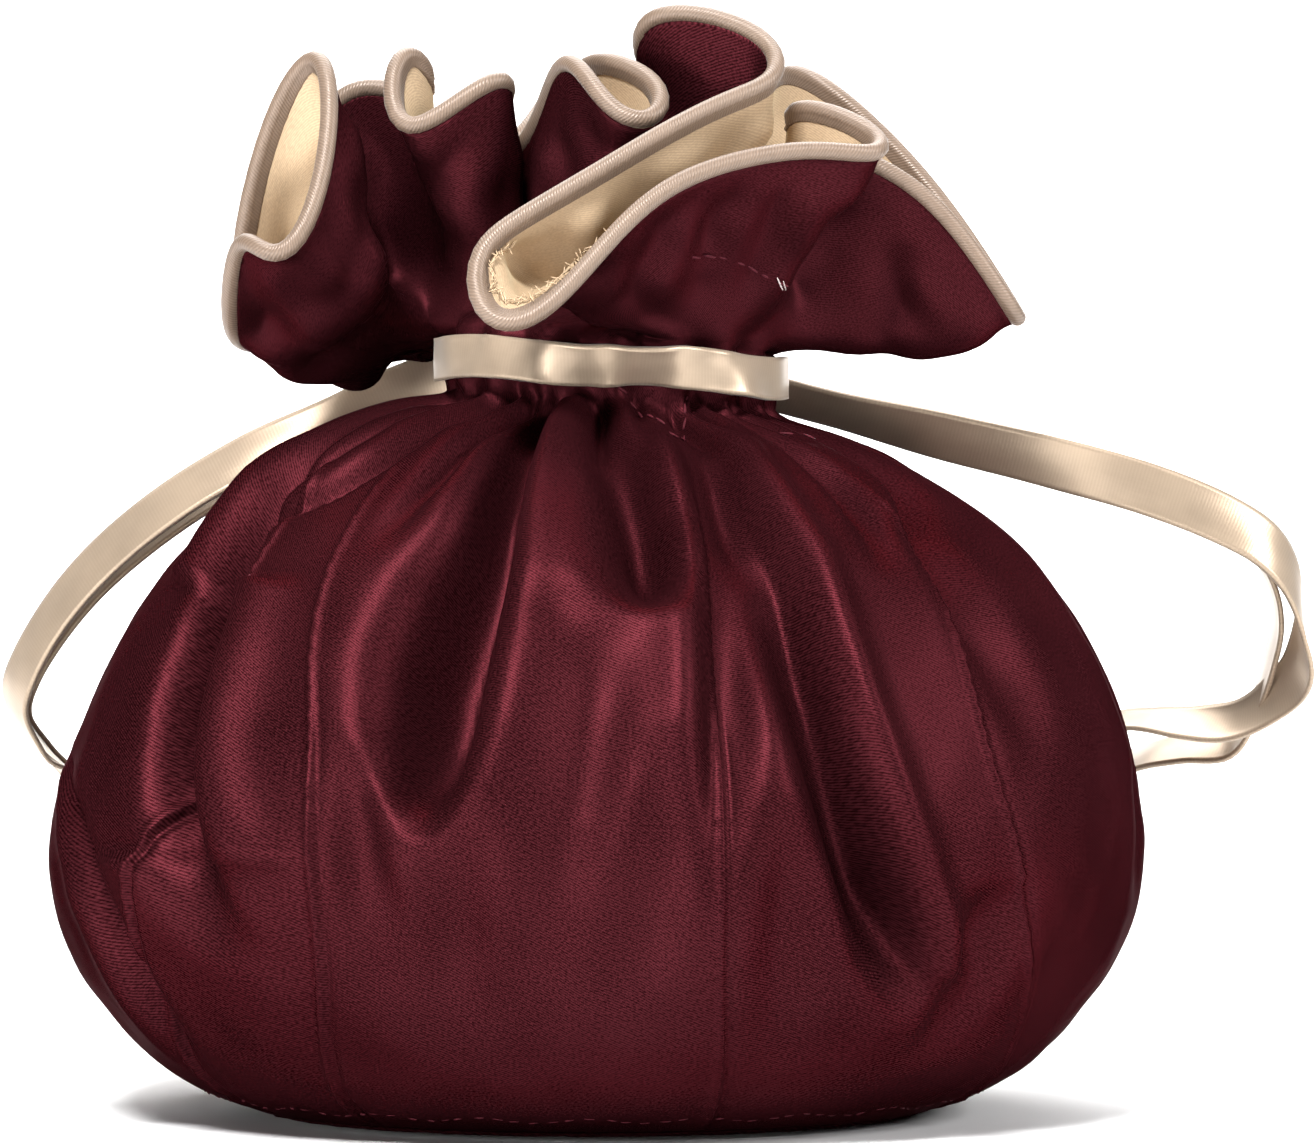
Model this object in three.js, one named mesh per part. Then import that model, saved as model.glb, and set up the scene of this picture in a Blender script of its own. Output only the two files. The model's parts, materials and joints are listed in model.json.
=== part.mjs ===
// A satin drawstring pouch for jewellery, drawn shut and standing on its round base.
// Millimetres, +Z up. The front faces -Y, and +X is to the right as the pouch is seen from the front.
// The origin is the middle of the base, on the surface that the pouch stands on.
import * as THREE from "three";

// Driving dimensions
const CLOTH = 1.0; // one layer of satin
const GAP = 0.3; // clearance between neighbouring pieces
const BASE = { radius: 40, thickness: 2, edge: 0.6, sides: 48 };
const NECK = { height: 87, radius: 19.2, across: 2, gathers: 16, ripple: 0.8, collar: 5.8 };
// The neck slants down to the right, over the body from one height up and over the ruffle's lowest part
const SLANT = { degrees: -3.5, from: 60, fade: 2 };
// How closely the ruffle keeps the neck's round section above the collar
const NECK_HOLD = 5;
const PIPING = { radius: 1.55, sides: 8, seat: 0.45 };
const RIBBON = { width: 6.35, thickness: 1.0, steps: 60 };
const NECK_BAND = { up: 1.1, columns: 48 };
const BODY = { columns: 64, rows: 14, foldsFrom: 83.5, foldsFull: 76, gatheredFrom: 62 };
const RUFFLE = { columns: 100, rows: 6, liningFrom: 4, finer: 5, bendWeight: 6 };
// How many softenings turn the ruffle's edge into the round neck, and how many of them the stiffness of
// the cloth takes off the edge
const SOFTENING = { steps: 2500, edge: 16 };
// How the ruffle's low bends hang: those at the front billow up before they fall, and those at the sides sag.
// "peak" brings the curve of the billow to a height of one.
const HANG = { below: 20, frontDepth: 35, frontBillow: 3, sideBillow: -3, peak: 27 / 4 };

// The body's outer face without its folds, from the base seam up to the neck
const BODY_SECTIONS = [
  { height: 0.5, radius: 40.9 },
  { height: 3.0, radius: 47.5 },
  { height: 8.0, radius: 54.6 },
  { height: 18, radius: 62.0 },
  { height: 31, radius: 65.2 },
  { height: 46, radius: 62.6 },
  { height: 61, radius: 54.6 },
  { height: 72, radius: 44.6 },
  { height: 79, radius: 34.4 },
  { height: 82, radius: 26.6 },
  { height: 83.6, radius: 21 },
  { height: 84.6, radius: NECK.radius },
  { height: NECK.height - GAP / 2, radius: NECK.radius },
];

// The body's main folds. Each runs down from the neck at one angle to another. It has its full depth above the
// height "full" and fades out at the height "to". Angles are in degrees from +X, so -90 is the front.
const BODY_FOLDS = [
  { fold: "front_left", top: -105, foot: -111, to: 33, full: 56, depth: 7.0, width: 8 },
  { fold: "front_middle", top: -88, foot: -86, to: 60, full: 70, depth: 7.0, width: 7 },
  { fold: "front_right", top: -71, foot: -78, to: 42, full: 64, depth: 5.0, width: 6 },
  { fold: "right_long", top: -57, foot: -54, to: 6, full: 26, depth: 5.0, width: 6 },
  { fold: "right_shoulder", top: -30, foot: -38, to: 42, full: 66, depth: 4.0, width: 8 },
  { fold: "left_long", top: -140, foot: -142, to: 20, full: 50, depth: 6.0, width: 8 },
  { fold: "far_left", top: -160, foot: -151, to: 4, full: 26, depth: 4.0, width: 6 },
  { fold: "right_side", top: -4, foot: -10, to: 26, full: 58, depth: 5.0, width: 8 },
  { fold: "back_right", top: 30, foot: 26, to: 40, full: 64, depth: 5.5, width: 8 },
  { fold: "back_right_long", top: 58, foot: 64, to: 12, full: 48, depth: 5.0, width: 8 },
  { fold: "back_middle", top: 88, foot: 92, to: 46, full: 66, depth: 6.0, width: 7 },
  { fold: "back_left_long", top: 118, foot: 114, to: 18, full: 50, depth: 5.0, width: 8 },
  { fold: "back_left", top: 146, foot: 152, to: 40, full: 62, depth: 5.5, width: 8 },
  { fold: "left_side", top: 174, foot: 178, to: 22, full: 54, depth: 5.0, width: 8 },
];

// The ruffle's piped edge, clockwise as seen from above, with one row for each bend of the edge
const RUFFLE_EDGE = [
  { bend: "right_tip", across: 52.6, back: -1, up: 90.5 },
  { bend: "right_face", across: 39, back: -5, up: 109 },
  { bend: "right_valley", across: 20, back: -5.5, up: 118 },
  { bend: "side_return", across: 27, back: -11, up: 118.5 },
  { bend: "side_tip", across: 36.3, back: -17, up: 112.5 },
  { bend: "lip_right", across: 24, back: -22, up: 113 },
  { bend: "lip_middle", across: 8, back: -30, up: 108 },
  { bend: "front_tip_low", across: -9.3, back: -38.5, up: 91.0 },
  { bend: "front_tip", across: -16.6, back: -36, up: 97 },
  { bend: "upper_lip", across: 2, back: -27, up: 111 },
  { bend: "upper_lip_high", across: 15, back: -20.5, up: 118.7 },
  { bend: "hairpin", across: 24.5, back: -14.5, up: 123 },
  { bend: "flap_top", across: 13.5, back: -9.5, up: 129.8 },
  { bend: "flap_tip", across: 5.0, back: -5.4, up: 128.2 },
  { bend: "flap_return", across: 11.6, back: -0.2, up: 120.9 },
  { bend: "hook_back", across: 4.8, back: 3.7, up: 120.7 },
  { bend: "hook_turn", across: -2.5, back: -1.5, up: 122 },
  { bend: "roll_arc", across: 1.4, back: -11, up: 124.5 },
  { bend: "roll_tip", across: 11, back: -17, up: 118.5 },
  { bend: "roll_low", across: 3.5, back: -20, up: 115.8 },
  { bend: "roll_top", across: -3.0, back: -13, up: 125 },
  { bend: "notch_right", across: -5.6, back: -5, up: 116 },
  { bend: "notch_left", across: -9.8, back: -5, up: 116 },
  { bend: "second_right", across: -9.6, back: -12, up: 123.5 },
  { bend: "second_dip", across: -22, back: -14.5, up: 114 },
  { bend: "second_top", across: -22.8, back: -8, up: 127.5 },
  { bend: "hidden_turn", across: -34.7, back: -2.9, up: 114.4 },
  { bend: "left_fold", across: -40.1, back: -7.2, up: 104.7 },
  { bend: "left_rim", across: -35.3, back: -7.9, up: 117.3 },
  { bend: "left_top", across: -33.8, back: -8.2, up: 128.9 },
  { bend: "left_top_front", across: -30.3, back: -16.5, up: 117.4 },
  { bend: "left_front", across: -31.0, back: -20.1, up: 107.9 },
  { bend: "left_valley", across: -36.6, back: -23.5, up: 96.5 },
  { bend: "left_lip", across: -41, back: -18.2, up: 106.5 },
  { bend: "left_edge", across: -43, back: -12.6, up: 95 },
  { bend: "left_low", across: -39.4, back: 6.3, up: 91.2 },
  { bend: "rear_left_valley", across: -20.6, back: 11.6, up: 101.9 },
  { bend: "rear_left_tip", across: -27.5, back: 26.5, up: 104.0 },
  { bend: "rear_valley", across: -9.9, back: 18.6, up: 115.7 },
  { bend: "rear_tip", across: -3, back: 33, up: 125.5 },
  { bend: "rear_right_valley", across: 9, back: 20, up: 120 },
  { bend: "rear_right_tip", across: 20, back: 30, up: 118 },
  { bend: "right_rear_valley", across: 24, back: 13, up: 125 },
  { bend: "right_rear", across: 39, back: 9, up: 112 },
];

// The two drawstrings, each one ribbon that leaves the neck, turns back behind the pouch and returns.
// Points of the ribbon's middle line, in order.
const LEFT_ROUTE = [
  [-13.1, 16, 88.5], [-22, 18, 86.5], [-32.3, 17.7, 81.9], [-42, 17, 77.9], [-50.6, 17, 73], [-59.2, 18, 66.3],
  [-65.5, 20, 59.5], [-70.1, 23, 52.2], [-71.6, 26, 47.8], [-70.2, 31, 43.3], [-67.9, 36, 40.4], [-60, 45, 34],
  [-51, 53, 25], [-40, 61, 13], [-25, 68, 5], [-12, 73, 3.6], [-6, 77.5, 3.6], [-12, 82, 3.6], [-27, 78.5, 5],
  [-43, 71.5, 13], [-55, 62.5, 24], [-62, 53, 32.5], [-67, 43, 39], [-69.9, 37, 43], [-71.8, 31.5, 47.7],
  [-70.3, 28.5, 51.9], [-65.5, 25.5, 58.6], [-59.1, 23.5, 65.1], [-50.6, 22.3, 71.6], [-42.3, 22, 76.5],
  [-32.6, 22, 80.6], [-22.8, 22, 85.2], [-11, 20.5, 88],
];
const RIGHT_ROUTE = [
  [19.5, 13.2, 86], [25.5, 14.2, 84.4], [43.1, 14, 80], [55.2, 14, 77.1], [67.3, 14, 73.7],
  [76, 15, 70.3], [81.5, 16, 67.1], [84.7, 18, 63.2], [86.3, 21, 57.4], [86.3, 25, 51.4], [83.5, 29, 47.9],
  [79.3, 33, 45.2], [74, 37, 44.8], [68.4, 41, 45.1], [63.5, 46, 44], [57, 54, 36], [49, 61, 24],
  [40, 66.5, 12.5], [30, 70.5, 5.5], [20, 73.5, 3.6], [13.5, 77.5, 3.6], [20, 82, 3.6], [33, 79, 6],
  [46, 72.5, 16], [57, 63.5, 29], [64.5, 54.5, 37.5], [69.7, 46, 40.4], [74.4, 42, 41.4], [79.8, 38, 42.5],
  [82.2, 34, 47.6], [83.6, 30, 53.4], [84, 26, 58.3], [82.6, 23, 62.8], [79, 20.5, 67.5], [73.5, 19.5, 71.3],
  [66, 19, 74.6], [54, 19, 77.8], [43, 19, 80.4], [31, 19.5, 83], [17.5, 20.2, 85],
];

const { clamp, euclideanModulo, lerp, smoothstep } = THREE.MathUtils;
const DEGREE = Math.PI / 180;
const UP = new THREE.Vector3(0, 0, 1);

// Satins
const BURGUNDY = { color: "#5a1424", roughness: 0.45 };
const GOLD = { color: "#b8965f", roughness: 0.45 };
const CHAMPAGNE = { color: "#cdb389", roughness: 0.45 };
const RIBBON_SATIN = { color: "#d3bd98", roughness: 0.35 };

// General shapes

// A closed solid through rings of points. A loop joins its last ring to its first, and otherwise both ends
// are capped.
function loft(rings, isLoop) {
  const points = rings.flat();
  const size = rings[0].length;
  const faces = [];
  const lastRing = isLoop ? rings.length : rings.length - 1;
  for (let i = 0; i < lastRing; i++) {
    const here = i * size;
    const next = ((i + 1) % rings.length) * size;
    for (let k = 0; k < size; k++) {
      const turn = (k + 1) % size;
      faces.push([here + k, here + turn, next + turn], [here + k, next + turn, next + k]);
    }
  }
  if (!isLoop) {
    const end = (rings.length - 1) * size;
    for (let k = 1; k < size - 1; k++) {
      faces.push([0, k + 1, k], [end, end + k, end + k + 1]);
    }
  }
  const normal = new THREE.Vector3();
  const volume = faces.reduce((sum, [a, b, c]) => {
    return sum + points[a].dot(normal.crossVectors(points[b], points[c]));
  }, 0);
  const geometry = new THREE.BufferGeometry().setFromPoints(points);
  geometry.setIndex(faces.flatMap(([a, b, c]) => (volume < 0 ? [a, c, b] : [a, b, c])));
  geometry.computeVertexNormals();
  return geometry;
}

// A cloth wall that closes on itself. "columns" holds its points column by column, each from the bottom up,
// and the wall lies between two distances from those points, measured outwards.
function clothWall(columns, from, to) {
  const count = columns.length;
  const rings = columns.map((column, i) => {
    const before = columns[(i + count - 1) % count];
    const after = columns[(i + 1) % count];
    const outwards = column.map((_, k) => {
      const along = after[k].clone().sub(before[k]);
      const above = column[Math.min(k + 1, column.length - 1)];
      const below = column[Math.max(k - 1, 0)];
      return above.clone().sub(below).cross(along).normalize();
    });
    const face = (distance) => column.map((point, k) => point.clone().addScaledVector(outwards[k], distance));
    return [...face(to), ...face(from).reverse()];
  });
  return loft(rings, true);
}

// Neck and body

// The wave of the gathers at an angle round the neck
function gather(angle) {
  return NECK.ripple * Math.cos(NECK.gathers * angle);
}

// How far the neck's slant, lower on the right, lifts a place on it
function slant(across) {
  return Math.tan(SLANT.degrees * DEGREE) * (across - NECK.across);
}

// How far the folds push the body's wall in, at an angle in degrees and a height
function foldDepth(degrees, height) {
  const ending = 1 - smoothstep(height, BODY.foldsFull, BODY.foldsFrom);
  return BODY_FOLDS.reduce((sum, row) => {
    const share = clamp((NECK.height - height) / (NECK.height - row.to), 0, 1);
    const middle = lerp(row.top, row.foot, share);
    const away = euclideanModulo(degrees - middle + 180, 360) - 180;
    const depth = row.depth * smoothstep(height, row.to, row.full) * ending;
    return sum + depth * Math.exp(-((away / row.width) ** 2));
  }, 0);
}

const bodyLine = new THREE.CatmullRomCurve3(
  BODY_SECTIONS.map((row) => new THREE.Vector3(row.radius, 0, row.height)),
);

// The body's outer face, column by column
function bodyColumns() {
  return Array.from({ length: BODY.columns }, (_, i) => {
    const angle = (-2 * Math.PI * i) / BODY.columns;
    return Array.from({ length: BODY.rows + 1 }, (_, k) => {
      const section = bodyLine.getPoint(k / BODY.rows);
      const gathered = smoothstep(section.z, BODY.gatheredFrom, BODY.foldsFrom);
      const radius = section.x - foldDepth(angle / DEGREE, section.z) + gathered * gather(angle);
      const across = NECK.across * smoothstep(section.z, 0, NECK.height) + radius * Math.cos(angle);
      const lift = slant(across) * smoothstep(section.z, SLANT.from, BODY.foldsFrom);
      return new THREE.Vector3(across, radius * Math.sin(angle), section.z + lift);
    });
  });
}

// Ruffle

const ruffleEdge = new THREE.CatmullRomCurve3(
  RUFFLE_EDGE.map((row) => new THREE.Vector3(row.across, row.back, row.up)),
  true,
);

function flatDistance(a, b) {
  return Math.hypot(a.x - b.x, a.y - b.y);
}

function flatLength(loop) {
  return loop.reduce((sum, point, i) => sum + flatDistance(point, loop[(i + 1) % loop.length]), 0);
}

// The same loop with its points evenly spaced as seen from above
function evenlySpaced(loop) {
  const step = flatLength(loop) / loop.length;
  const even = [];
  let passed = 0;
  loop.forEach((point, i) => {
    const next = loop[(i + 1) % loop.length];
    const length = flatDistance(point, next);
    while (even.length < loop.length && even.length * step <= passed + length) {
      even.push(point.clone().lerp(next, (even.length * step - passed) / length));
    }
    passed += length;
  });
  while (even.length < loop.length) {
    even.push(loop[0].clone());
  }
  return even;
}

// A loop whose bends are a little softer: each point moves halfway to the middle of its two neighbours
function softened(loop) {
  const count = loop.length;
  return loop.map((point, i) => {
    const before = loop[(i + count - 1) % count];
    const after = loop[(i + 1) % count];
    return before.clone().lerp(after, 0.5).lerp(point, 0.5);
  });
}

// The ruffle's sections as seen from above, from its edge to one that is nearly a circle
function unfoldedLoops() {
  const loops = [evenlySpaced(ruffleEdge.getPoints(RUFFLE.columns * RUFFLE.finer).slice(1))];
  for (let i = 0; i < SOFTENING.steps; i++) {
    loops.push(evenlySpaced(softened(loops[i])));
  }
  return loops.slice(SOFTENING.edge);
}

// What a loop needs to be drawn at another size: its middle, its mean radius and how many times longer it is
// than a circle of that radius
function loopShape(loop) {
  const middle = loop.reduce((sum, point) => sum.add(point), new THREE.Vector3()).divideScalar(loop.length);
  const area = Math.abs(THREE.ShapeUtils.area(loop));
  const radius = Math.sqrt(area / Math.PI);
  return { loop, middle, radius, folded: flatLength(loop) / (2 * Math.PI * radius) };
}

// Which points of the finely drawn edge get a column of cloth: more of them where the edge bends
function columnPlaces(loop) {
  const count = loop.length;
  const passed = [0];
  loop.forEach((point, i) => {
    const before = loop[(i + count - 1) % count];
    const after = loop[(i + 1) % count];
    const bend = after.clone().sub(point).angleTo(point.clone().sub(before));
    passed.push(passed[i] + point.distanceTo(after) + RUFFLE.bendWeight * bend);
  });
  const step = passed[count] / RUFFLE.columns;
  return Array.from({ length: RUFFLE.columns }, (_, k) => passed.findIndex((sum) => sum >= k * step));
}

// The ruffle's two layers share a middle surface, given column by column. It rises straight inside the neck
// ribbon and then unfolds from the gathered neck to the piped edge.
function ruffleColumns() {
  const shapes = unfoldedLoops().map(loopShape);
  const edge = shapes[0];
  const low = NECK.height + GAP / 2;
  const high = NECK.height + NECK.collar;
  const neckRadius = NECK.radius - CLOTH - GAP / 2;
  const neckMiddle = new THREE.Vector3(NECK.across, 0, 0);
  const round = shapes.at(-1);
  const neckLoop = round.loop.map((point) => {
    const angle = Math.atan2(point.y - round.middle.y, point.x - round.middle.x);
    const radius = neckRadius + gather(angle);
    return new THREE.Vector3(NECK.across + radius * Math.cos(angle), radius * Math.sin(angle), high);
  });
  const section = (share) => {
    const folded = 1 + (edge.folded - 1) * share;
    const shape = shapes.find((each) => each.folded <= folded) ?? shapes.at(-1);
    const scale = lerp(neckRadius, edge.radius, share) / shape.radius;
    const middle = neckMiddle.clone().lerp(edge.middle, share);
    return shape.loop.map((point, i) => {
      const place = point.clone().sub(shape.middle).multiplyScalar(scale).add(middle);
      place.lerp(neckLoop[i], (1 - share) ** NECK_HOLD);
      const front = clamp(-point.y / HANG.frontDepth, 0, 1);
      const hang = clamp(1 - (point.z - high) / HANG.below, 0, 1);
      const billow = lerp(HANG.sideBillow, HANG.frontBillow, front) * hang;
      const rise = lerp(high, point.z, share) + billow * HANG.peak * share ** 2 * (1 - share);
      return place.setZ(rise + (1 - share) ** SLANT.fade * slant(place.x));
    });
  };
  const sections = [];
  for (let k = 0; k < RUFFLE.rows; k++) {
    sections.push(section(k / (RUFFLE.rows - 1)));
  }
  return columnPlaces(edge.loop).map((i) => {
    const column = sections.map((points) => points[i]);
    return [column[0].clone().setZ(low + slant(column[0].x)), ...column];
  });
}

// The direction of the ruffle's edge at a column
function edgeDirection(columns, i) {
  const count = columns.length;
  const before = columns[(i + count - 1) % count].at(-1);
  const after = columns[(i + 1) % count].at(-1);
  return after.clone().sub(before).normalize();
}

// The same columns, ending where the piping starts
function belowPiping(columns) {
  return columns.map((column, i) => {
    const [last, edge] = column.slice(-2);
    const along = edgeDirection(columns, i);
    const back = last.clone().sub(edge);
    back.addScaledVector(along, -back.dot(along)).setLength(PIPING.radius + PIPING.seat);
    return [...column.slice(0, -1), edge.clone().add(back)];
  });
}

// The round piping along the ruffle's edge
function pipingGeometry(columns) {
  const rings = columns.map((column, i) => {
    const [last, middle] = column.slice(-2);
    const along = edgeDirection(columns, i);
    const side = middle.clone().sub(last).cross(along).normalize();
    const over = along.clone().cross(side);
    return Array.from({ length: PIPING.sides }, (_, k) => {
      const turn = (2 * Math.PI * k) / PIPING.sides;
      const spoke = side.clone().multiplyScalar(Math.cos(turn)).addScaledVector(over, Math.sin(turn));
      return middle.clone().addScaledVector(spoke, PIPING.radius);
    });
  });
  return loft(rings, true);
}

// Ribbons

// Corners of a ribbon's section: its width runs along "wide" and its thickness along "thick"
function ribbonRing(middle, wide, thick) {
  const width = RIBBON.width / 2;
  const thickness = RIBBON.thickness / 2;
  const corners = [[width, thickness], [-width, thickness], [-width, -thickness], [width, -thickness]];
  return corners.map(([w, t]) => middle.clone().addScaledVector(wide, w).addScaledVector(thick, t));
}

// A ribbon along a route, which starts on its edge and turns no more than the route makes it turn
function ribbonGeometry(route) {
  const curve = new THREE.CatmullRomCurve3(route.map((p) => new THREE.Vector3(...p)));
  const rings = [];
  let wide = UP.clone();
  for (let i = 0; i <= RIBBON.steps; i++) {
    const share = i / RIBBON.steps;
    const along = curve.getTangentAt(share);
    wide = wide.clone().addScaledVector(along, -wide.dot(along)).normalize();
    rings.push(ribbonRing(curve.getPointAt(share), wide, along.clone().cross(wide)));
  }
  return loft(rings, false);
}

// The ribbon that is drawn tight round the neck
function neckBandGeometry() {
  const radius = NECK.radius + NECK.ripple + GAP + RIBBON.thickness / 2;
  const rings = [];
  for (let i = 0; i < NECK_BAND.columns; i++) {
    const angle = (2 * Math.PI * i) / NECK_BAND.columns;
    const out = new THREE.Vector3(Math.cos(angle), Math.sin(angle), 0);
    const middle = out.clone().multiplyScalar(radius);
    middle.x += NECK.across;
    middle.z = NECK.height + NECK_BAND.up + slant(middle.x);
    rings.push(ribbonRing(middle, UP, out));
  }
  return loft(rings, true);
}

// Base

function baseGeometry() {
  const { radius, thickness, edge, sides } = BASE;
  const profile = [
    [0, 0],
    [radius - edge, 0],
    [radius, edge],
    [radius, thickness - edge],
    [radius - edge, thickness],
    [0, thickness],
  ];
  const outline = profile.map(([out, up]) => new THREE.Vector2(out, up));
  return new THREE.LatheGeometry(outline, sides).rotateX(Math.PI / 2);
}

// The pouch

function piece(name, geometry, satin) {
  const mesh = new THREE.Mesh(geometry, new THREE.MeshStandardMaterial({ ...satin, metalness: 0 }));
  mesh.name = name;
  return mesh;
}

const outerFace = GAP / 2 + CLOTH;
const ruffle = ruffleColumns();
const layers = belowPiping(ruffle);
const lined = layers.map((column) => column.slice(RUFFLE.liningFrom));

const pouch = new THREE.Group();
pouch.add(
  piece("base_panel", baseGeometry(), BURGUNDY),
  piece("body", clothWall(bodyColumns(), -CLOTH, 0), BURGUNDY),
  piece("ruffle", clothWall(layers, GAP / 2, outerFace), BURGUNDY),
  piece("lining", clothWall(lined, -GAP / 2, -outerFace), GOLD),
  piece("piping", pipingGeometry(ruffle), CHAMPAGNE),
  piece("neck_ribbon", neckBandGeometry(), RIBBON_SATIN),
  piece("drawstring_left", ribbonGeometry(LEFT_ROUTE), RIBBON_SATIN),
  piece("drawstring_right", ribbonGeometry(RIGHT_ROUTE), RIBBON_SATIN),
);

export default pouch;
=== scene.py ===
# A satin drawstring pouch for jewellery, drawn shut and standing on a pale studio floor.
# The front of the pouch faces -Y. Tables are in millimetres and degrees, and every mesh is in metres.

import json
import math
from functools import lru_cache

import bpy
import numpy as np
from mathutils import Vector
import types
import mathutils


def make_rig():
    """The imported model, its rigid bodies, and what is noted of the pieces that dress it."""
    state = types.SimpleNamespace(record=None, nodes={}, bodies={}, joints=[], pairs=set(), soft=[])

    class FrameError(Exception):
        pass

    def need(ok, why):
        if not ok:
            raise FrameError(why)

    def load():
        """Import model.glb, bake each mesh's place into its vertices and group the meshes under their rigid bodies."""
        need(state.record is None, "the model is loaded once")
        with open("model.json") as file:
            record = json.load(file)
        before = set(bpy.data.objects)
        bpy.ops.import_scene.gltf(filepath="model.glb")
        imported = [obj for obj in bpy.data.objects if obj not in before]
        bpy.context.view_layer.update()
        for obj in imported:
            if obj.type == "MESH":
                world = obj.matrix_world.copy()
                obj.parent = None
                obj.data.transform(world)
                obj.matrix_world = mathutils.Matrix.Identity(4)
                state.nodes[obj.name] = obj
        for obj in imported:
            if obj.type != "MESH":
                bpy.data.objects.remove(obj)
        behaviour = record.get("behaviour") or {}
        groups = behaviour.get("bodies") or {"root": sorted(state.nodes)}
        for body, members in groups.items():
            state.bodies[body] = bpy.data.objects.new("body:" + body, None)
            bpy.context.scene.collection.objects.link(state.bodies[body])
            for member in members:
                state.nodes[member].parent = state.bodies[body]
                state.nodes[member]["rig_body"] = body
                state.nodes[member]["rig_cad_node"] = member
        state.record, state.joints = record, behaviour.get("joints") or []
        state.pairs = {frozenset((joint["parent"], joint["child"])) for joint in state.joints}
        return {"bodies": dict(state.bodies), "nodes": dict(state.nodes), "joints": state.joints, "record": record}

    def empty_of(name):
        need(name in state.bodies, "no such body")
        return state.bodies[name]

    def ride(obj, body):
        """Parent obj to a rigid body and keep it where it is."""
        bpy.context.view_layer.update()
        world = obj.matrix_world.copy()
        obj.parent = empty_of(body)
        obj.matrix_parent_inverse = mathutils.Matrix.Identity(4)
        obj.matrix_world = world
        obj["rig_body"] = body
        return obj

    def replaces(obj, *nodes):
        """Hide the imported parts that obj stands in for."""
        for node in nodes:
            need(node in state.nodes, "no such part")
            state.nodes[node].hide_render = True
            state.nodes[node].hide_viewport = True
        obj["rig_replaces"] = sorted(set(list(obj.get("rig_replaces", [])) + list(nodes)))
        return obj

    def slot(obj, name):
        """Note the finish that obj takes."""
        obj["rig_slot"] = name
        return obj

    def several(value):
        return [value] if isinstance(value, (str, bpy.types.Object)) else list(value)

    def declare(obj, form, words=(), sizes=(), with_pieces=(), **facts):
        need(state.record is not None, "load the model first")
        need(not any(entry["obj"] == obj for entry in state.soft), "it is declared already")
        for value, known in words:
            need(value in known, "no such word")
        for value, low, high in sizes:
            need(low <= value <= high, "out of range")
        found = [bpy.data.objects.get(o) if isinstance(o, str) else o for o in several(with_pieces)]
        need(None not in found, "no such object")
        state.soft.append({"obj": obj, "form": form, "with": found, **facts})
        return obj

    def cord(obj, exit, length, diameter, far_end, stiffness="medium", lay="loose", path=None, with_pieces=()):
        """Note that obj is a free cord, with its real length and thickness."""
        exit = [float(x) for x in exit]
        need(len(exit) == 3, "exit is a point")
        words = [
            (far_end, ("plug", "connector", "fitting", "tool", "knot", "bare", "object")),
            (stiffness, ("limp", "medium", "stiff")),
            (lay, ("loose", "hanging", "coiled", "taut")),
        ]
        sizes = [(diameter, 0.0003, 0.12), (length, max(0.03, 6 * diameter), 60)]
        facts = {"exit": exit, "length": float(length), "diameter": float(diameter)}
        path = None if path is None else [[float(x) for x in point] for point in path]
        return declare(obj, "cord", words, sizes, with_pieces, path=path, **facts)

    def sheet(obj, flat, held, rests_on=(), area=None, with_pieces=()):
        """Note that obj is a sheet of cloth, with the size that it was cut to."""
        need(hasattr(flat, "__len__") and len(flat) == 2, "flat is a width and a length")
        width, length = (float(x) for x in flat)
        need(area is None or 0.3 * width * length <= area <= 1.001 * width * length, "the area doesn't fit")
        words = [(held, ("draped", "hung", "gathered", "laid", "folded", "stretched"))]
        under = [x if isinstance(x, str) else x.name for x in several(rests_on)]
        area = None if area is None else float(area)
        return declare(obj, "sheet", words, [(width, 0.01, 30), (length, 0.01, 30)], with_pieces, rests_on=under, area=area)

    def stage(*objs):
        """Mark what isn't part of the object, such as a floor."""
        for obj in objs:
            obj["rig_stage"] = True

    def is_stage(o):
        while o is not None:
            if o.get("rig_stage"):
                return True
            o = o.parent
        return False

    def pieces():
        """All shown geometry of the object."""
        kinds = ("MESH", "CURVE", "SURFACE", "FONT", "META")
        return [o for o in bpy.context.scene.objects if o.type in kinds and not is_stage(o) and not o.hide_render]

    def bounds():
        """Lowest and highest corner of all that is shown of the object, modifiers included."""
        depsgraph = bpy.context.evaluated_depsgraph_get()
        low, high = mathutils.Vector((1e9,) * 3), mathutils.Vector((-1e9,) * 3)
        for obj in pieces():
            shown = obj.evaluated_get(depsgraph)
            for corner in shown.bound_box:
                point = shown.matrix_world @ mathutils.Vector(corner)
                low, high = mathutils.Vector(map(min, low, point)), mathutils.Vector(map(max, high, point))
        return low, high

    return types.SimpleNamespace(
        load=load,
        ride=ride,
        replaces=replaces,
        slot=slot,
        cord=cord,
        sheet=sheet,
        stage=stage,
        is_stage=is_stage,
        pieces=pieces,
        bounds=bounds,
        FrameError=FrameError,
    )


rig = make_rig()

bl_info = {
    "name": "Drawstring jewellery pouch",
    "version": (1, 0, 0),
    "blender": (4, 5, 0),
    "location": "View3D > Sidebar > Pouch",
    "description": "Dresses a drawstring pouch in gathered satin, piping and ribbon",
    "category": "Object",
}

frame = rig.load()
CAD_BOX = [list(corner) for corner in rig.bounds()]

MM = 0.001
UP = np.array((0.0, 0.0, 1.0))

# The camera, in metres and millimetres of lens
CAMERA = {"place": (0.0076, -0.8, 0.070), "target": (0.0076, 0.0, 0.0639), "lens": 183.4, "sensor": 36.0}

# Neck, gathers and collar
NECK = {
    "height": 87.0,
    "radius": 19.2,
    "across": 2.0,
    "gathers": 16,
    "ripple": 0.8,
    "collar": 4.4,
}
# The neck slants down to the right, over the body from one height up and over the ruffle's lowest part
SLANT = {"degrees": -3.5, "start": 60.0, "end": 83.5, "fade": 2}
GAP = 0.3
CAD_CLOTH = 1.0

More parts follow.
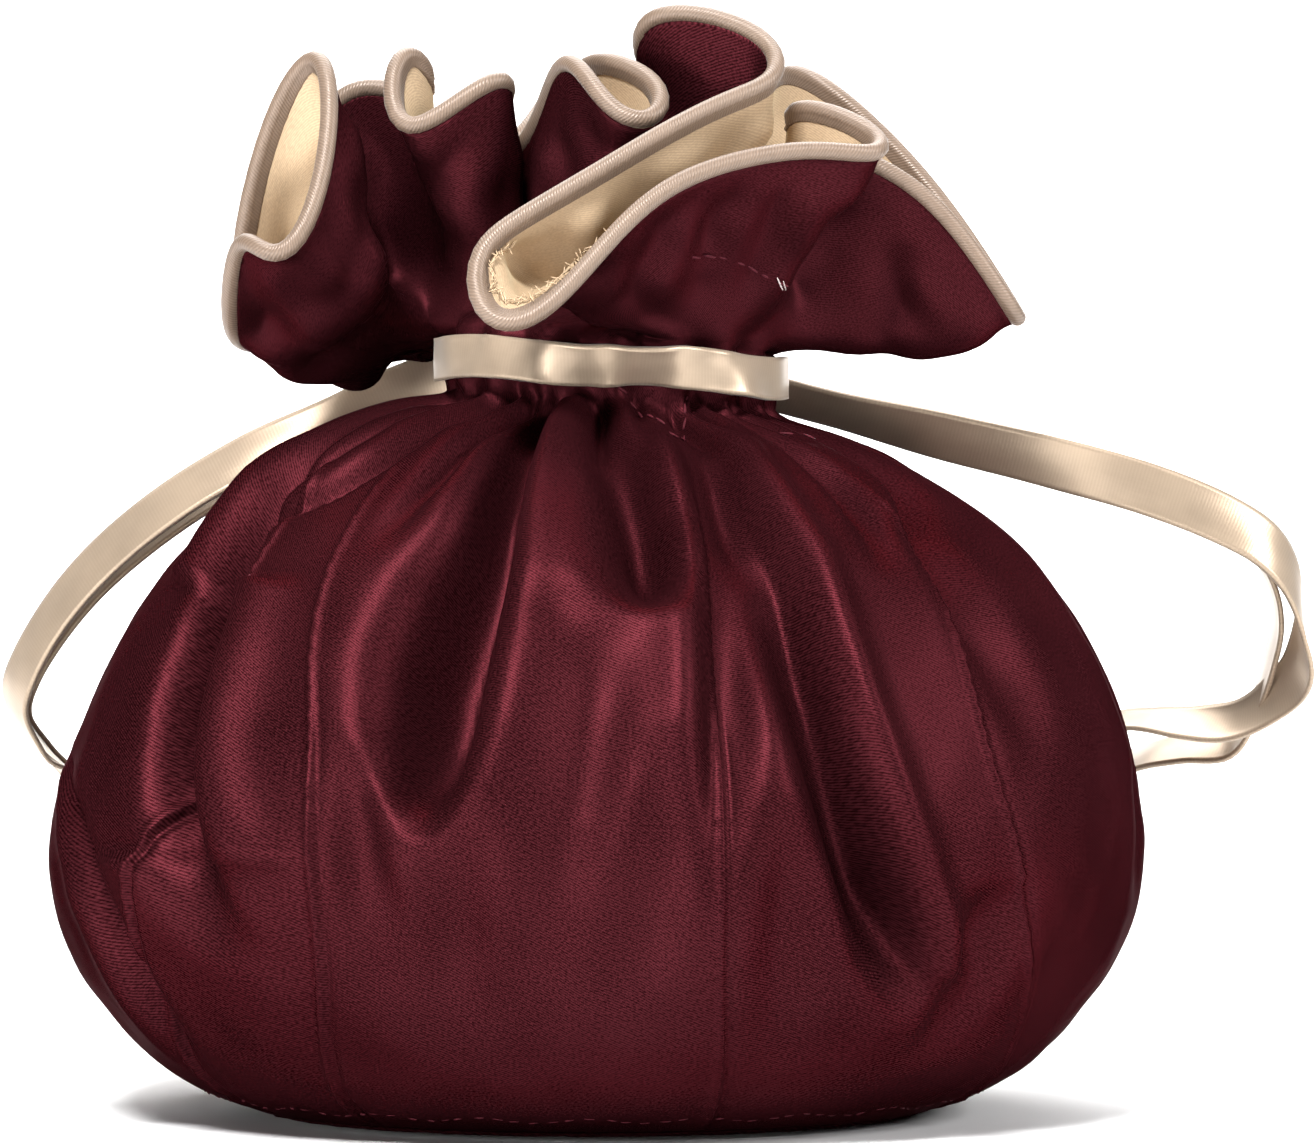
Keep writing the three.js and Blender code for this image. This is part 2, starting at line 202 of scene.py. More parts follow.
# The body's outer face without its folds, from the base seam up to the neck
BODY_SECTIONS = (
    # height, radius
    (0.5, 40.9),
    (3.0, 47.5),
    (8.0, 54.6),
    (18.0, 62.0),
    (31.0, 65.2),
    (46.0, 62.6),
    (61.0, 54.6),
    (72.0, 44.6),
    (79.0, 34.4),
    (82.0, 26.6),
    (83.6, 21.0),
    (84.6, 19.2),
    (86.85, 19.2),
)

# The stitched lines that divide the body into panels: their angles at five heights, in degrees from +X
SEAM_HEIGHTS = (0.0, 20.0, 45.0, 62.0, 87.0)
SEAMS = (
    # name, angles from the foot to the neck
    ("left_outer", (-152.0, -146.0, -141.0, -140.0, -144.0)),
    ("left", (-126.0, -119.0, -121.0, -126.0, -128.0)),
    ("centre", (-73.0, -77.0, -77.3, -77.2, -74.0)),
    ("right", (-22.0, -38.0, -46.3, -45.7, -42.0)),
    ("right_back", (20.0, 24.0, 24.0, 24.0, 25.0)),
    ("back_right", (72.0, 74.0, 76.0, 76.0, 75.0)),
    ("back_left", (122.0, 120.0, 119.0, 119.0, 120.0)),
    ("left_back", (166.0, 164.0, 163.0, 163.0, 165.0)),
)

# How finely the body is drawn: columns in each panel and rows from the base to the neck
PANEL_COLUMNS = 58
BODY_ROWS = 104
# How many places are taken on smooth lines and how many levels are read off them
FINE = {
    "side": 900,
    "seam": 200,
    "seam_levels": 60,
    "fold": 240,
    "fold_levels": 80,
    "casing": 40,
    "ruffle_line": 60,
}
# The radius at which the cloth of a panel is measured
PANEL_RADIUS = 60.0
# Heights on the body over which something starts or stops
BODY_STRETCHES = {
    "gathers_start": (62.0, 84.0),
    "folds_stop": (83.6, 85.8),
    "wrinkles_start": (1.0, 10.0),
    "wrinkles_stop": (78.0, 84.0),
    "seams_start": (0.5, 3.0),
    "seams_stop": (70.0, 78.0),
    "ridges_stop": (40.0, 58.0),
}
# The groove of a seam, the ridge of folded cloth on its right and the puckers along it
SEAM_GROOVE = {
    "depth": 0.45,
    "reach": 0.55,
    "ridge": 0.42,
    "ridge_place": 0.95,
    "ridge_reach": 0.5,
    "pucker": 0.16,
    "pucker_pitch": 2.6,
    "pucker_reach": 1.5,
    "drift": 1.7,
    "drift_rate": 0.31,
}

# How a fold's two sides fall away, where the crest beside its steep side is and how far it reaches, in steps
# of that side's reach, and how deep a fold with a whole crest is
FOLD_SHAPE = {
    "steep_side": 1.9,
    "long_side": 2.8,
    "crest_place": 2.3,
    "crest_reach": 1.3,
    "full_depth": 5.0,
}
# The body's folds, from the top down. Each row is one section of a fold: its height, its angle, how deep it
# lies and how far it reaches to the left and to the right as it is seen from outside.
FOLDS = (
    # fold, crest, sections of (height, angle, depth, left, right)
    ("front_left", 1.4, (
        (85.0, -110.0, 1.4, 1.6, 1.2),
        (79.0, -106.6, 5.6, 3.0, 1.4),
        (70.0, -105.2, 9.2, 4.6, 1.8),
        (63.0, -105.4, 11.2, 8.0, 2.3),
        (56.0, -106.2, 12.5, 9.0, 2.9),
        (48.0, -106.4, 12.0, 7.6, 3.0),
        (42.0, -107.0, 8.5, 5.4, 2.8),
        (38.0, -107.4, 2.8, 3.6, 2.6),
        (34.5, -107.6, 0.0, 3.0, 2.6),
    )),
    ("front_middle", 1.3, (
        (85.0, -95.0, 1.0, 1.4, 1.4),
        (80.0, -90.5, 4.5, 2.2, 4.0),
        (73.0, -86.5, 7.5, 3.6, 5.2),
        (67.0, -84.8, 8.0, 4.2, 4.8),
        (63.5, -84.4, 5.0, 4.0, 4.4),
        (60.0, -84.0, 0.0, 3.6, 4.0),
    )),
    ("front_right", 1.3, (
        (85.0, -72.0, 1.0, 1.4, 1.6),
        (79.0, -73.2, 3.0, 1.8, 3.0),
        (70.0, -74.7, 4.5, 2.0, 4.2),
        (59.0, -76.4, 5.0, 2.0, 5.0),
        (48.0, -77.4, 4.0, 2.0, 4.6),
        (40.0, -77.8, 2.4, 2.2, 3.6),
        (32.0, -78.2, 0.8, 2.2, 3.0),
        (26.0, -78.2, 0.0, 2.0, 3.0),
    )),
    ("right_long", 2.2, (
        (85.0, -66.0, 0.8, 1.6, 1.4),
        (76.0, -68.2, 3.0, 3.0, 1.8),
        (66.0, -67.2, 4.5, 4.0, 2.0),
        (54.0, -66.0, 6.5, 5.0, 2.0),
        (43.0, -64.0, 7.5, 5.0, 2.1),
        (33.0, -60.8, 9.0, 5.4, 2.2),
        (25.0, -57.8, 9.0, 5.4, 2.4),
        (20.0, -55.8, 5.5, 5.0, 2.6),
        (16.5, -54.0, 2.0, 4.0, 3.0),
        (13.5, -53.0, 0.0, 3.0, 3.0),
    )),
    ("right_shoulder", 1.0, (
        (84.5, -30.0, 0.6, 1.6, 2.4),
        (76.0, -33.0, 2.4, 1.8, 4.0),
        (69.0, -42.0, 2.6, 1.8, 5.0),
        (60.0, -43.0, 2.2, 2.0, 6.0),
        (51.0, -40.0, 1.6, 3.0, 6.0),
        (41.0, -38.0, 0.0, 3.0, 6.0),
    )),
    ("right_low", 0.8, (
        (30.0, -45.0, 0.0, 3.0, 6.0),
        (25.5, -46.5, 2.4, 3.0, 6.0),
        (17.0, -47.5, 2.6, 3.0, 6.0),
        (8.0, -48.0, 0.0, 3.0, 5.0),
    )),
    ("left_long", 2.4, (
        (85.0, -160.0, 0.8, 1.8, 2.0),
        (76.0, -156.0, 3.5, 2.6, 3.2),
        (69.0, -151.0, 7.5, 3.4, 3.8),
        (60.0, -145.5, 11.5, 4.0, 3.8),
        (50.0, -142.0, 12.5, 4.6, 3.6),
        (40.0, -139.5, 9.0, 4.6, 3.8),
        (30.0, -135.5, 4.0, 4.4, 4.6),
        (20.0, -131.0, 0.0, 4.0, 6.0),
    )),
    ("left_shoulder", 0.8, (
        (85.0, -131.0, 0.8, 1.5, 1.5),
        (78.0, -131.5, 2.8, 1.8, 2.4),
        (73.0, -136.0, 2.8, 2.0, 2.6),
        (68.5, -146.0, 0.0, 2.0, 3.0),
    )),
    ("left_shoulder_low", 0.6, (
        (84.0, -142.0, 0.6, 1.5, 1.5),
        (76.0, -145.5, 2.2, 1.6, 2.2),
        (71.0, -150.0, 0.0, 2.0, 2.6),
    )),
    ("far_left", 1.2, (
        (43.0, -172.0, 0.0, 2.6, 3.0),
        (35.0, -159.0, 2.6, 2.4, 3.0),
        (24.0, -151.0, 3.6, 2.4, 3.4),
        (15.0, -148.2, 3.0, 2.4, 3.4),
        (5.0, -147.0, 0.0, 2.4, 3.0),
    )),
    ("front_soft", 0.6, (
        (60.0, -89.5, 0.0, 3.0, 4.0),
        (52.0, -90.5, 1.6, 3.6, 4.4),
        (40.0, -92.0, 2.8, 4.0, 5.0),
        (28.0, -94.0, 2.4, 4.0, 6.0),
        (17.0, -97.0, 1.6, 4.0, 6.0),
        (6.0, -99.0, 0.0, 3.0, 6.0),
    )),
    ("front_soft_right", 0.5, (
        (48.0, -83.0, 0.0, 3.0, 3.0),
        (38.0, -83.6, 1.8, 3.4, 3.4),
        (26.0, -85.0, 2.4, 4.0, 4.4),
        (12.0, -88.0, 0.0, 4.0, 5.0),
    )),
    ("low_middle_soft", 0.4, (
        (36.0, -104.0, 0.0, 3.0, 4.0),
        (24.0, -104.5, 2.8, 4.0, 5.0),
        (8.0, -105.0, 0.0, 4.0, 5.0),
    )),
    ("low_right_soft", 0.4, (
        (40.0, -70.5, 0.0, 3.0, 4.0),
        (26.0, -70.0, 2.8, 4.0, 5.0),
        (8.0, -69.0, 0.0, 4.0, 5.0),
    )),
    ("low_left_soft", 0.5, (
        (46.0, -116.5, 0.0, 3.0, 3.0),
        (38.0, -115.0, 2.0, 3.0, 3.0),
        (26.0, -113.0, 2.2, 4.0, 5.0),
        (12.0, -112.0, 0.0, 4.0, 5.0),
    )),
    ("neck_crease_left", 0.5, (
        (85.0, -117.0, 1.0, 1.2, 1.2),
        (77.0, -118.5, 2.6, 1.4, 2.0),
        (66.0, -121.0, 0.0, 1.6, 2.4),
    )),
    ("neck_crease_far", 0.5, (
        (85.0, -51.0, 0.8, 1.2, 1.2),
        (77.0, -49.0, 2.4, 1.6, 2.2),
        (64.0, -53.0, 0.0, 1.8, 2.4),
    )),
    ("right_side", 1.0, (
        (83.5, -6.0, 0.8, 2.0, 2.0),
        (72.0, -4.0, 3.6, 3.2, 4.2),
        (56.0, -7.0, 4.8, 4.2, 7.0),
        (40.0, -9.0, 3.0, 4.8, 7.0),
        (24.0, -11.0, 0.0, 5.0, 6.0),
    )),
    ("back_right", 1.2, (
        (83.5, 31.0, 0.8, 2.0, 2.0),
        (72.0, 29.0, 4.0, 3.2, 5.0),
        (56.0, 27.0, 4.4, 3.6, 7.0),
        (40.0, 26.0, 0.0, 4.0, 7.0),
    )),
    ("back_right_long", 1.2, (
        (83.5, 57.0, 0.8, 2.0, 2.0),
        (70.0, 59.0, 4.0, 4.0, 3.0),
        (48.0, 62.0, 5.0, 6.4, 3.6),
        (28.0, 64.0, 3.6, 6.0, 4.0),
        (12.0, 65.0, 0.0, 5.0, 4.0),
    )),
    ("back_middle", 1.2, (
        (83.5, 88.0, 0.8, 2.0, 2.0),
        (74.0, 89.0, 5.0, 3.0, 3.6),
        (62.0, 91.0, 5.0, 3.4, 5.0),
        (46.0, 92.0, 0.0, 4.0, 6.0),
    )),
    ("back_left_long", 1.2, (
        (83.5, 118.0, 0.8, 2.0, 2.0),
        (70.0, 117.0, 4.0, 3.0, 4.6),
        (48.0, 115.0, 5.0, 3.4, 6.6),
        (30.0, 114.0, 3.0, 4.0, 6.0),
        (16.0, 113.0, 0.0, 4.0, 6.0),
    )),
    ("back_left", 1.0, (
        (83.5, 146.0, 0.8, 2.0, 2.0),
        (72.0, 148.0, 4.0, 4.4, 3.0),
        (56.0, 150.0, 4.4, 6.4, 3.6),
        (40.0, 152.0, 0.0, 6.0, 4.0),
    )),
    ("left_side", 1.0, (
        (83.5, 174.0, 0.8, 2.0, 2.0),
        (70.0, 175.0, 3.6, 3.0, 4.6),
        (50.0, 177.0, 4.6, 3.4, 7.0),
        (34.0, 178.0, 2.6, 4.0, 6.6),
        (20.0, 179.0, 0.0, 4.0, 6.0),
    )),
)

# Short pleats that run down from the drawn neck, between the ranges given, and how they widen and fade
NECK_PLEATS = {
    "count": 36,
    "seed": 5,
    "shift": 3.6,
    "drift": 5.0,
    "depth": (0.8, 2.3),
    "length": (9.0, 28.0),
    "reach": (0.7, 1.4),
    "narrow": 0.7,
    "widen": 0.9,
    "fade": 0.3,
}
# Small wrinkles of the cloth, made of waves whose lengths are spread about one wavelength
WRINKLES = {"waves": 24, "spread": (0.6, 1.5), "calm": 1.5}
BODY_WRINKLES = (
    # depth, seed, wavelength
    (0.42, 11, 26.0),
    (0.14, 12, 9.0),
)
RUFFLE_WRINKLES = (
    # depth, seed, wavelength
    (1.2, 21, 16.0),
    (0.4, 22, 7.0),
)
# Upright flutes of the ruffle
FLUTES = {"depth": 0.9, "seed": 23, "wavelength": 9.0, "upright": 0.3}

# The ruffle's piped edge, clockwise as seen from above, with one row for each bend of the edge
RUFFLE_EDGE = (
    # bend, across, back, up
    ("right_tip", 52.6, -1, 90.5),
    ("right_face", 39, -5, 109),
    ("right_valley", 20, -5.5, 118),
    ("side_return", 27, -11, 118.5),
    ("side_tip", 36.3, -17, 112.5),
    ("lip_right", 24, -22, 113),
    ("lip_middle", 8, -30, 108),
    ("front_tip_low", -9.3, -38.5, 91.0),
    ("front_tip", -16.6, -36, 97),
    ("upper_lip", 2, -27, 111),
    ("upper_lip_high", 15, -20.5, 118.7),
    ("hairpin", 24.5, -14.5, 123),
    ("flap_top", 13.5, -9.5, 129.8),
    ("flap_tip", 2.0, -5.4, 128.4),
    ("flap_return", 9.5, -0.2, 120.9),
    ("hook_back", 4.8, 3.7, 120.7),
    ("hook_turn", -2.5, -1.5, 122),
    ("roll_arc", 1.4, -11, 124.5),
    ("roll_tip", 11, -17, 118.5),
    ("roll_low", 3.5, -20, 115.8),
    ("roll_top", -3.0, -13, 125),
    ("notch_right", -8.5, -1, 113),
    ("notch_left", -15, -3, 111),
    ("second_right", -8.0, -12, 124),
    ("second_dip", -24.8, -14.5, 113.8),
    ("second_top", -22.8, -8, 127.5),
    ("second_back", -16.5, -2.5, 118.5),
    ("second_left", -29.5, -0.5, 122.5),
    ("hidden_turn", -37, 1.0, 110),
    ("left_fold", -44.4, -5.5, 91),
    ("left_rim", -40.4, -8, 113.5),
    ("left_top", -32.6, -8.2, 127.6),
    ("left_top_front", -30.3, -16.5, 117.4),
    ("left_front", -31.0, -20.1, 107.9),
    ("left_valley", -36.6, -23.5, 96.5),
    ("left_lip", -41, -18.2, 106.5),
    ("left_edge", -43, -12.6, 95),
    ("left_low", -39.4, 6.3, 91.2),
    ("rear_left_valley", -20.6, 11.6, 101.9),
    ("rear_left_tip", -27.5, 26.5, 104.0),
    ("rear_valley", -9.9, 18.6, 115.7),
    ("rear_tip", -3, 33, 125.5),
    ("rear_right_valley", 9, 20, 120),
    ("rear_right_tip", 20, 30, 118),
    ("right_rear_valley", 24, 13, 125),
    ("right_rear", 39, 9, 112),
)

# How finely the ruffle is drawn, the row where its lining starts, how many softenings turn its edge into the
# round neck, how many of them the cloth's own stiffness takes off the edge, and how soon its folds open.
# Its cloth is measured along one row, and up its columns as so many times their mean line.
RUFFLE = {
    "columns": 500,
    "rows": 34,
    "collar_rows": 6,
    "lining_row": 10,
    "softenings": 2500,
    "rounding": 16,
    "neck_hold": 8,
    "unfold": 0.6,
    "measured_row": -8,
    "cloth_rise": 1.6,
}
# Shares of the ruffle's height over which its wrinkles start and stop, and how far inside the piping it ends
RUFFLE_LOOSE = {"start": (0.05, 0.35), "stop": (0.75, 0.97), "inset": 0.9}
# Half the space between the ruffle's cloth and its lining
LAYER_GAP = 0.05
# How the ruffle's low bends hang: those at the front billow up before they fall, and those at the sides sag.
# The peaks bring each curve to a height of one.
HANG = {
    "below": 20.0,
    "front_depth": 35.0,
    "front_billow": 3.0,
    "billow_peak": 27.0 / 4.0,
    "side_sag": 6.0,
    "sag_peak": 8.0,
}

# The piping's section: its sides, and where the sewn flange lies from the cord, inwards and outside
PIPING = {"sides": 22, "flange_place": (1.1, -0.35)}

# The ribbon round the neck: its ripples in and out, its rise and fall, and how it leans where it is crumpled
NECK_BAND = {
    "columns": 300,
    "up": 1.1,
    "clear": 0.5,
    "width_share": 0.80,
    "cup": 0.5,
    "ripple": 0.3,
    "ripples": ((0.35, 16.0, 0.4), (0.25, 9.0, 2.0)),
    "bob": (0.25, 5.0, 1.0),
    "crumple": (30.0, 5.0, 2.6),
    "fine_crumple": (9.0, 13.0, 1.5),
}
# A ribbon's section: its points across and where its woven edges start and how far they swell
RIBBON_SECTION = {"points": 11, "edge": (0.36, 0.46), "swell": 0.25}
# How finely the drawstrings are drawn, how far they are cupped and how often their facings are smoothed
DRAWSTRING = {"fine": 40, "steps": 420, "cup": 0.9, "smoothings": 12}

# The base panel's section as shares of its radius and thickness, and the waves of its ragged edge, each with
# its height, its count and its start
BASE = {
    "columns": 160,
    "steps": 24,
    "under": (0.02, 0.985),
    "rim": ((0.997, 0.25), (1.0, 0.55), (0.995, 0.85)),
    "over": (0.98, 0.02),
    "ragged": ((0.25, 31.0, 0.0), (0.2, 47.0, 1.0)),
    "ragged_from": 0.96,
    "cloth_turn": 0.6,
}

# Where the seams' stitches start and end, how the base seam runs, and how far both are sunk in the cloth
SEAM_STITCHES = {"from": 2.2, "to": 74.0, "steps": 150, "sunk": 0.16}
BASE_STITCHES = {"height": 2.4, "wave": 0.3, "waves": 23.0, "steps": 420, "sunk": 0.15}
# The places in the body that its stitches are sunk towards
SEAM_MIDDLE = np.array((NECK["across"] / 2.0, 0.0, 30.0))
FOOT_MIDDLE = np.array((0.0, 0.0, 20.0))
# How far the other threads lie off the face of the cloth
THREAD_LIFT = {"casing": 0.12, "slit": 0.85, "fray": -1.1, "end": 1.1}
# How far stitches and loose threads lean out of line
STITCH_SWAY = 0.22
LOOSE_SWAY = 1.6
# The casing's stitches under the neck ribbon, as angles and heights on the body
CASING = (
    (
        (-92.0, 86.0), (-84.7, 85.0), (-80.0, 83.6), (-75.5, 82.2),
        (-72.0, 82.0), (-67.0, 83.2), (-61.0, 85.0),
    ),
    ((-44.0, 82.6), (-41.5, 82.1), (-37.2, 81.0), (-34.4, 80.2)),
)
# The sewn slit on the front of the ruffle and the frayed edge inside its front fold, as columns and rows of
# the ruffle
SLIT = ((74, 23), (68, 22), (62, 20), (56, 18), (51, 17))
FRAY = ((107, 35), (104, 36), (101, 36), (98, 36), (95, 36), (91, 36), (87, 36), (82, 36))

# The two drawstrings, each one ribbon that leaves the neck, turns back behind the pouch and returns
LEFT_ROUTE = (
    (-13.1, 16, 88.5), (-22, 18, 86.5), (-32.3, 17.7, 81.9), (-42, 17, 77.9), (-50.6, 17, 73),
    (-59.2, 18, 66.3), (-65.5, 20, 59.5), (-70.1, 23, 52.2), (-71.6, 26, 47.8), (-70.2, 31, 43.3),
    (-67.9, 36, 40.4), (-60, 45, 34), (-51, 53, 25), (-40, 61, 13), (-25, 68, 5),
    (-12, 73, 3.6), (-6, 77.5, 3.6), (-12, 82, 3.6), (-27, 78.5, 5), (-43, 71.5, 13),
    (-55, 62.5, 24), (-62, 53, 32.5), (-67, 43, 39), (-69.9, 37, 43), (-71.8, 31.5, 47.7),
    (-70.3, 28.5, 51.9), (-65.5, 25.5, 58.6), (-59.1, 23.5, 65.1), (-50.6, 22.3, 71.6), (-42.3, 22, 76.5),
    (-32.6, 22, 80.6), (-22.8, 22, 85.2), (-11, 20.5, 88),
)
RIGHT_ROUTE = (
    (19.5, 13.2, 86), (25.5, 14.2, 84.4), (43.1, 14, 80), (55.2, 14, 77.1), (67.3, 14, 73.7),
    (76, 15, 70.3), (81.5, 16, 67.1), (84.7, 18, 63.2), (86.3, 21, 57.4), (86.3, 25, 51.4),
    (83.5, 29, 47.9), (79.3, 33, 45.2), (74, 37, 44.8), (68.4, 41, 45.1), (63.5, 46, 44),
    (57, 54, 36), (49, 61, 24), (40, 66.5, 12.5), (30, 70.5, 5.5), (20, 73.5, 3.6),
    (13.5, 77.5, 3.6), (20, 82, 3.6), (33, 79, 6), (46, 72.5, 16), (57, 63.5, 29),
    (64.5, 54.5, 37.5), (69.7, 46, 40.4), (74.4, 42, 41.4), (79.8, 38, 42.5), (82.2, 34, 47.6),
    (83.6, 30, 53.4), (84, 26, 58.3), (82.6, 23, 62.8), (79, 20.5, 67.5), (73.5, 19.5, 71.3),
    (66, 19, 74.6), (54, 19, 77.8), (43, 19, 80.4), (31, 19.5, 83), (17.5, 20.2, 85),
)
# Where each ribbon's shiny face looks: a share of its length, then the direction's x, y and z
LEFT_FACINGS = (
    (0.0, -0.2, -1.0, 0.0), (0.05, -0.1, -0.95, 0.3), (0.1, -0.3, -0.75, 0.55),
    (0.15, -0.5, -0.72, 0.45), (0.184, -0.7, -0.65, 0.3), (0.2, -0.75, -0.62, 0.15),
    (0.217, -0.75, -0.62, 0.0), (0.234, -0.75, -0.55, -0.1), (0.26, -0.7, -0.6, -0.2),
    (0.34, -0.1, -0.9, -0.3), (0.42, 0.36, -0.93, 0.0), (0.5, 1.0, 0.0, 0.0),
    (0.57, -0.2, 0.95, 0.0), (0.66, 0.4, 0.8, 0.3), (0.735, 0.6, 0.6, 0.3),
    (0.785, 0.7, 0.6, 0.0), (0.835, 0.5, 0.66, -0.5), (0.9, 0.3, 0.7, -0.6),
    (0.95, 0.15, 0.9, -0.4), (1.0, 0.2, 1.0, 0.0),
)
RIGHT_FACINGS = (
    (0.0, 0.0, -0.55, -0.83), (0.03, 0.0, -0.6, -0.8), (0.06, 0.0, -0.85, -0.5),
    (0.084, 0.0, -0.9, -0.4), (0.117, 0.05, -1.0, 0.0), (0.15, 0.1, -0.95, 0.25),
    (0.167, 0.3, -0.85, 0.4), (0.184, 0.8, -0.48, 0.3), (0.2, 0.97, -0.1, 0.2),
    (0.217, 0.85, 0.4, 0.3), (0.234, 0.87, 0.46, -0.18), (0.251, 0.73, 0.4, -0.57),
    (0.284, 0.18, 0.26, -0.95), (0.35, 0.3, 0.6, -0.6), (0.42, 0.5, 0.85, 0.0),
    (0.5, 1.0, 0.0, 0.0), (0.57, 0.5, -0.85, 0.0), (0.66, -0.1, -0.8, 0.5),
    (0.716, -0.45, -0.32, 0.84), (0.735, -0.4, -0.35, 0.84), (0.752, -0.9, -0.1, 0.4),
    (0.785, -0.95, -0.15, 0.2), (0.802, -1.0, -0.12, 0.08), (0.82, -0.9, -0.1, -0.3),
    (0.86, -0.35, -0.1, -0.93), (1.0, 0.0, -0.3, -0.95),
)

# The studio's lights, in metres and watts
LIGHTS = (
    # light, place, aim, size, power
    ("key light", (-0.22, -0.80, 1.00), (0.0, 0.0, 0.06), (0.30, 0.30), 29.0),
    ("front light", (-0.55, -0.90, 0.05), (-0.03, 0.0, 0.10), (0.4, 0.08), 3.0),
    ("fill light", (-0.90, -0.62, 0.14), (-0.01, 0.0, 0.06), (0.30, 0.25), 3.5),
    ("right light", (0.92, -0.40, 0.55), (0.05, 0.0, 0.04), (0.40, 0.40), 10.0),
    ("top light", (0.0, 0.25, 1.0), (0.0, 0.05, 0.0), (0.6, 0.6), 3.0),
    ("floor light", (0.0, 1.00, 1.20), (0.0, 1.1, 0.0), (1.4, 1.4), 40.0),
    ("backdrop light", (0.0, 1.60, 1.0), (0.0, 2.5, 0.1), (1.6, 0.4), 45.0),
)
WORLD_LIGHT = 0.02
# The floor and the backdrop that it curves up into, in metres
FLOOR = {
    "half_width": 2.0,
    "front": -2.2,
    "back": 2.2,
    "level": -0.0004,
    "curve": 0.35,
    "turns": (0.1, 1.5),
    "steps": 14,
    "top": 1.6,
}


# Sizes and colours


def length(name, description, default):
    return bpy.props.FloatProperty(
        name=name, description=description, default=default, min=0.0, unit="LENGTH"
    )


def colour(name, description, default):
    return bpy.props.FloatVectorProperty(
        name=name, description=description, default=default, size=3, subtype="COLOR", min=0.0, max=1.0
    )


class PouchSizes(bpy.types.PropertyGroup):
    """Sizes of the cloth, trim and sewing"""

    cloth: length("Cloth", "Thickness of the burgundy satin", 0.0007)
    lining: length("Lining", "Thickness of the gold satin", 0.0006)
    piping: length("Piping", "Radius of the piping's cord", 0.00105)
    piping_flange: length("Piping flange", "Radius of the sewn flange beside the cord", 0.00055)
    ribbon_width: length("Ribbon width", "Width of the drawstring ribbon", 0.00635)
    ribbon: length("Ribbon", "Thickness of the drawstring ribbon", 0.0004)
    base_radius: length("Base radius", "Radius of the round bottom panel", 0.040)
    base: length("Base", "Thickness of the round bottom panel", 0.002)
    stitch: length("Stitch", "Length of one stitch", 0.0017)
    stitch_gap: length("Stitch pitch", "Distance from one stitch to the next", 0.0022)
    thread: length("Thread", "Radius of the sewing thread", 0.00017)
    fray: length("Fray", "Length of the loose threads at the lining's cut edge", 0.0020)
    fray_gap: length("Fray pitch", "Distance from one loose thread to the next", 0.00045)
    fray_thread: length("Fray thread", "Radius of a loose thread", 0.00011)


class PouchColours(bpy.types.PropertyGroup):
    """Colours of the satins, the thread and the studio"""

    burgundy: colour("Burgundy", "Outer satin", (0.060, 0.0108, 0.0146))
    burgundy_deep: colour("Deep burgundy", "Outer satin between its threads", (0.013, 0.0019, 0.0027))
    gold: colour("Gold", "Lining satin", (0.500, 0.365, 0.235))
    champagne: colour("Champagne", "Piping satin", (0.216, 0.151, 0.109))
    ribbon: colour("Ribbon", "Drawstring ribbon", (0.460, 0.350, 0.250))
    thread: colour("Thread", "Sewing thread", (0.085, 0.013, 0.020))
    pale_thread: colour("Pale thread", "End of thread at the slit", (0.520, 0.430, 0.420))
    floor: colour("Floor", "Studio floor and backdrop", (0.90, 0.90, 0.90))


# Curves and cloth


def smooth_step(value, low, high):
    share = np.clip((np.asarray(value, float) - low) / (high - low), 0.0, 1.0)
    return share * share * (3.0 - 2.0 * share)


def lerp(start, end, share):
    return start + (end - start) * share


def unit(vectors):
    return vectors / np.linalg.norm(vectors, axis=-1, keepdims=True)


def bell(away):
    """A swelling that is 1 high at 0 and falls away on both sides."""
    return np.exp(-(away**2))


def waves(angles, *rows):
    """The sum of waves round a turn, each with its height, its count and its start."""
    return sum(height * np.sin(count * angles + start) for height, count, start in rows)


def smooth_curve(points, shares, closed=False):
    """Points on the smooth curve through the given ones, from share 0 at the first to 1 at the last."""
    points = np.asarray(points, float)
    if closed:
        padded = np.concatenate((points[-1:], points, points[:2]))
        spans = len(points)
    else:
        before = 2.0 * points[:1] - points[1:2]
        after = 2.0 * points[-1:] - points[-2:-1]
        padded = np.concatenate((before, points, after))
        spans = len(points) - 1
    place = np.asarray(shares, float) * spans
    index = np.clip(place.astype(int), 0, spans - 1)
    weight = (place - index)[:, None]
    p0, p1, p2, p3 = (padded[index + k] for k in range(4))
    pairs = ((p0, p1), (p1, p2), (p2, p3))
    d0, d1, d2 = (np.sqrt(np.linalg.norm(b - a, axis=1))[:, None] for a, b in pairs)
    leaving = d1 * ((p1 - p0) / d0 - (p2 - p0) / (d0 + d1) + (p2 - p1) / d1)
    arriving = d1 * ((p2 - p1) / d1 - (p3 - p1) / (d1 + d2) + (p3 - p2) / d2)
    squared = -3.0 * p1 + 3.0 * p2 - 2.0 * leaving - arriving
    cubed = 2.0 * p1 - 2.0 * p2 + leaving + arriving
    return p1 + weight * leaving + weight**2 * squared + weight**3 * cubed


def distances(points):
    """How far along a line of points each one lies."""
    steps = np.linalg.norm(np.diff(points, axis=0), axis=1)
    return np.concatenate(([0.0], np.cumsum(steps)))


def even_line(points, count):
    """The same line with evenly spaced points."""
    passed = distances(points)
    places = np.linspace(0.0, passed[-1], count)
    return np.column_stack([np.interp(places, passed, column) for column in points.T])


def wrinkles(points, seed, wavelength):
    """A smooth uneven field of about -1 to 1 at points in millimetres."""
    count = WRINKLES["waves"]
    random = np.random.default_rng(seed)
    directions = unit(random.normal(size=(count, 3))) * random.uniform(*WRINKLES["spread"], (count, 1))
    phases = random.uniform(0.0, 2.0 * math.pi, count)
    angles = points @ directions.T * (2.0 * math.pi / wavelength) + phases
    return np.sin(angles).sum(axis=-1) / math.sqrt(count) / WRINKLES["calm"]


def rumpled(points, rows):
    """The sum of fields of wrinkles, each with its depth, its seed and its wavelength."""
    return sum(depth * wrinkles(points, seed, wavelength) for depth, seed, wavelength in rows)


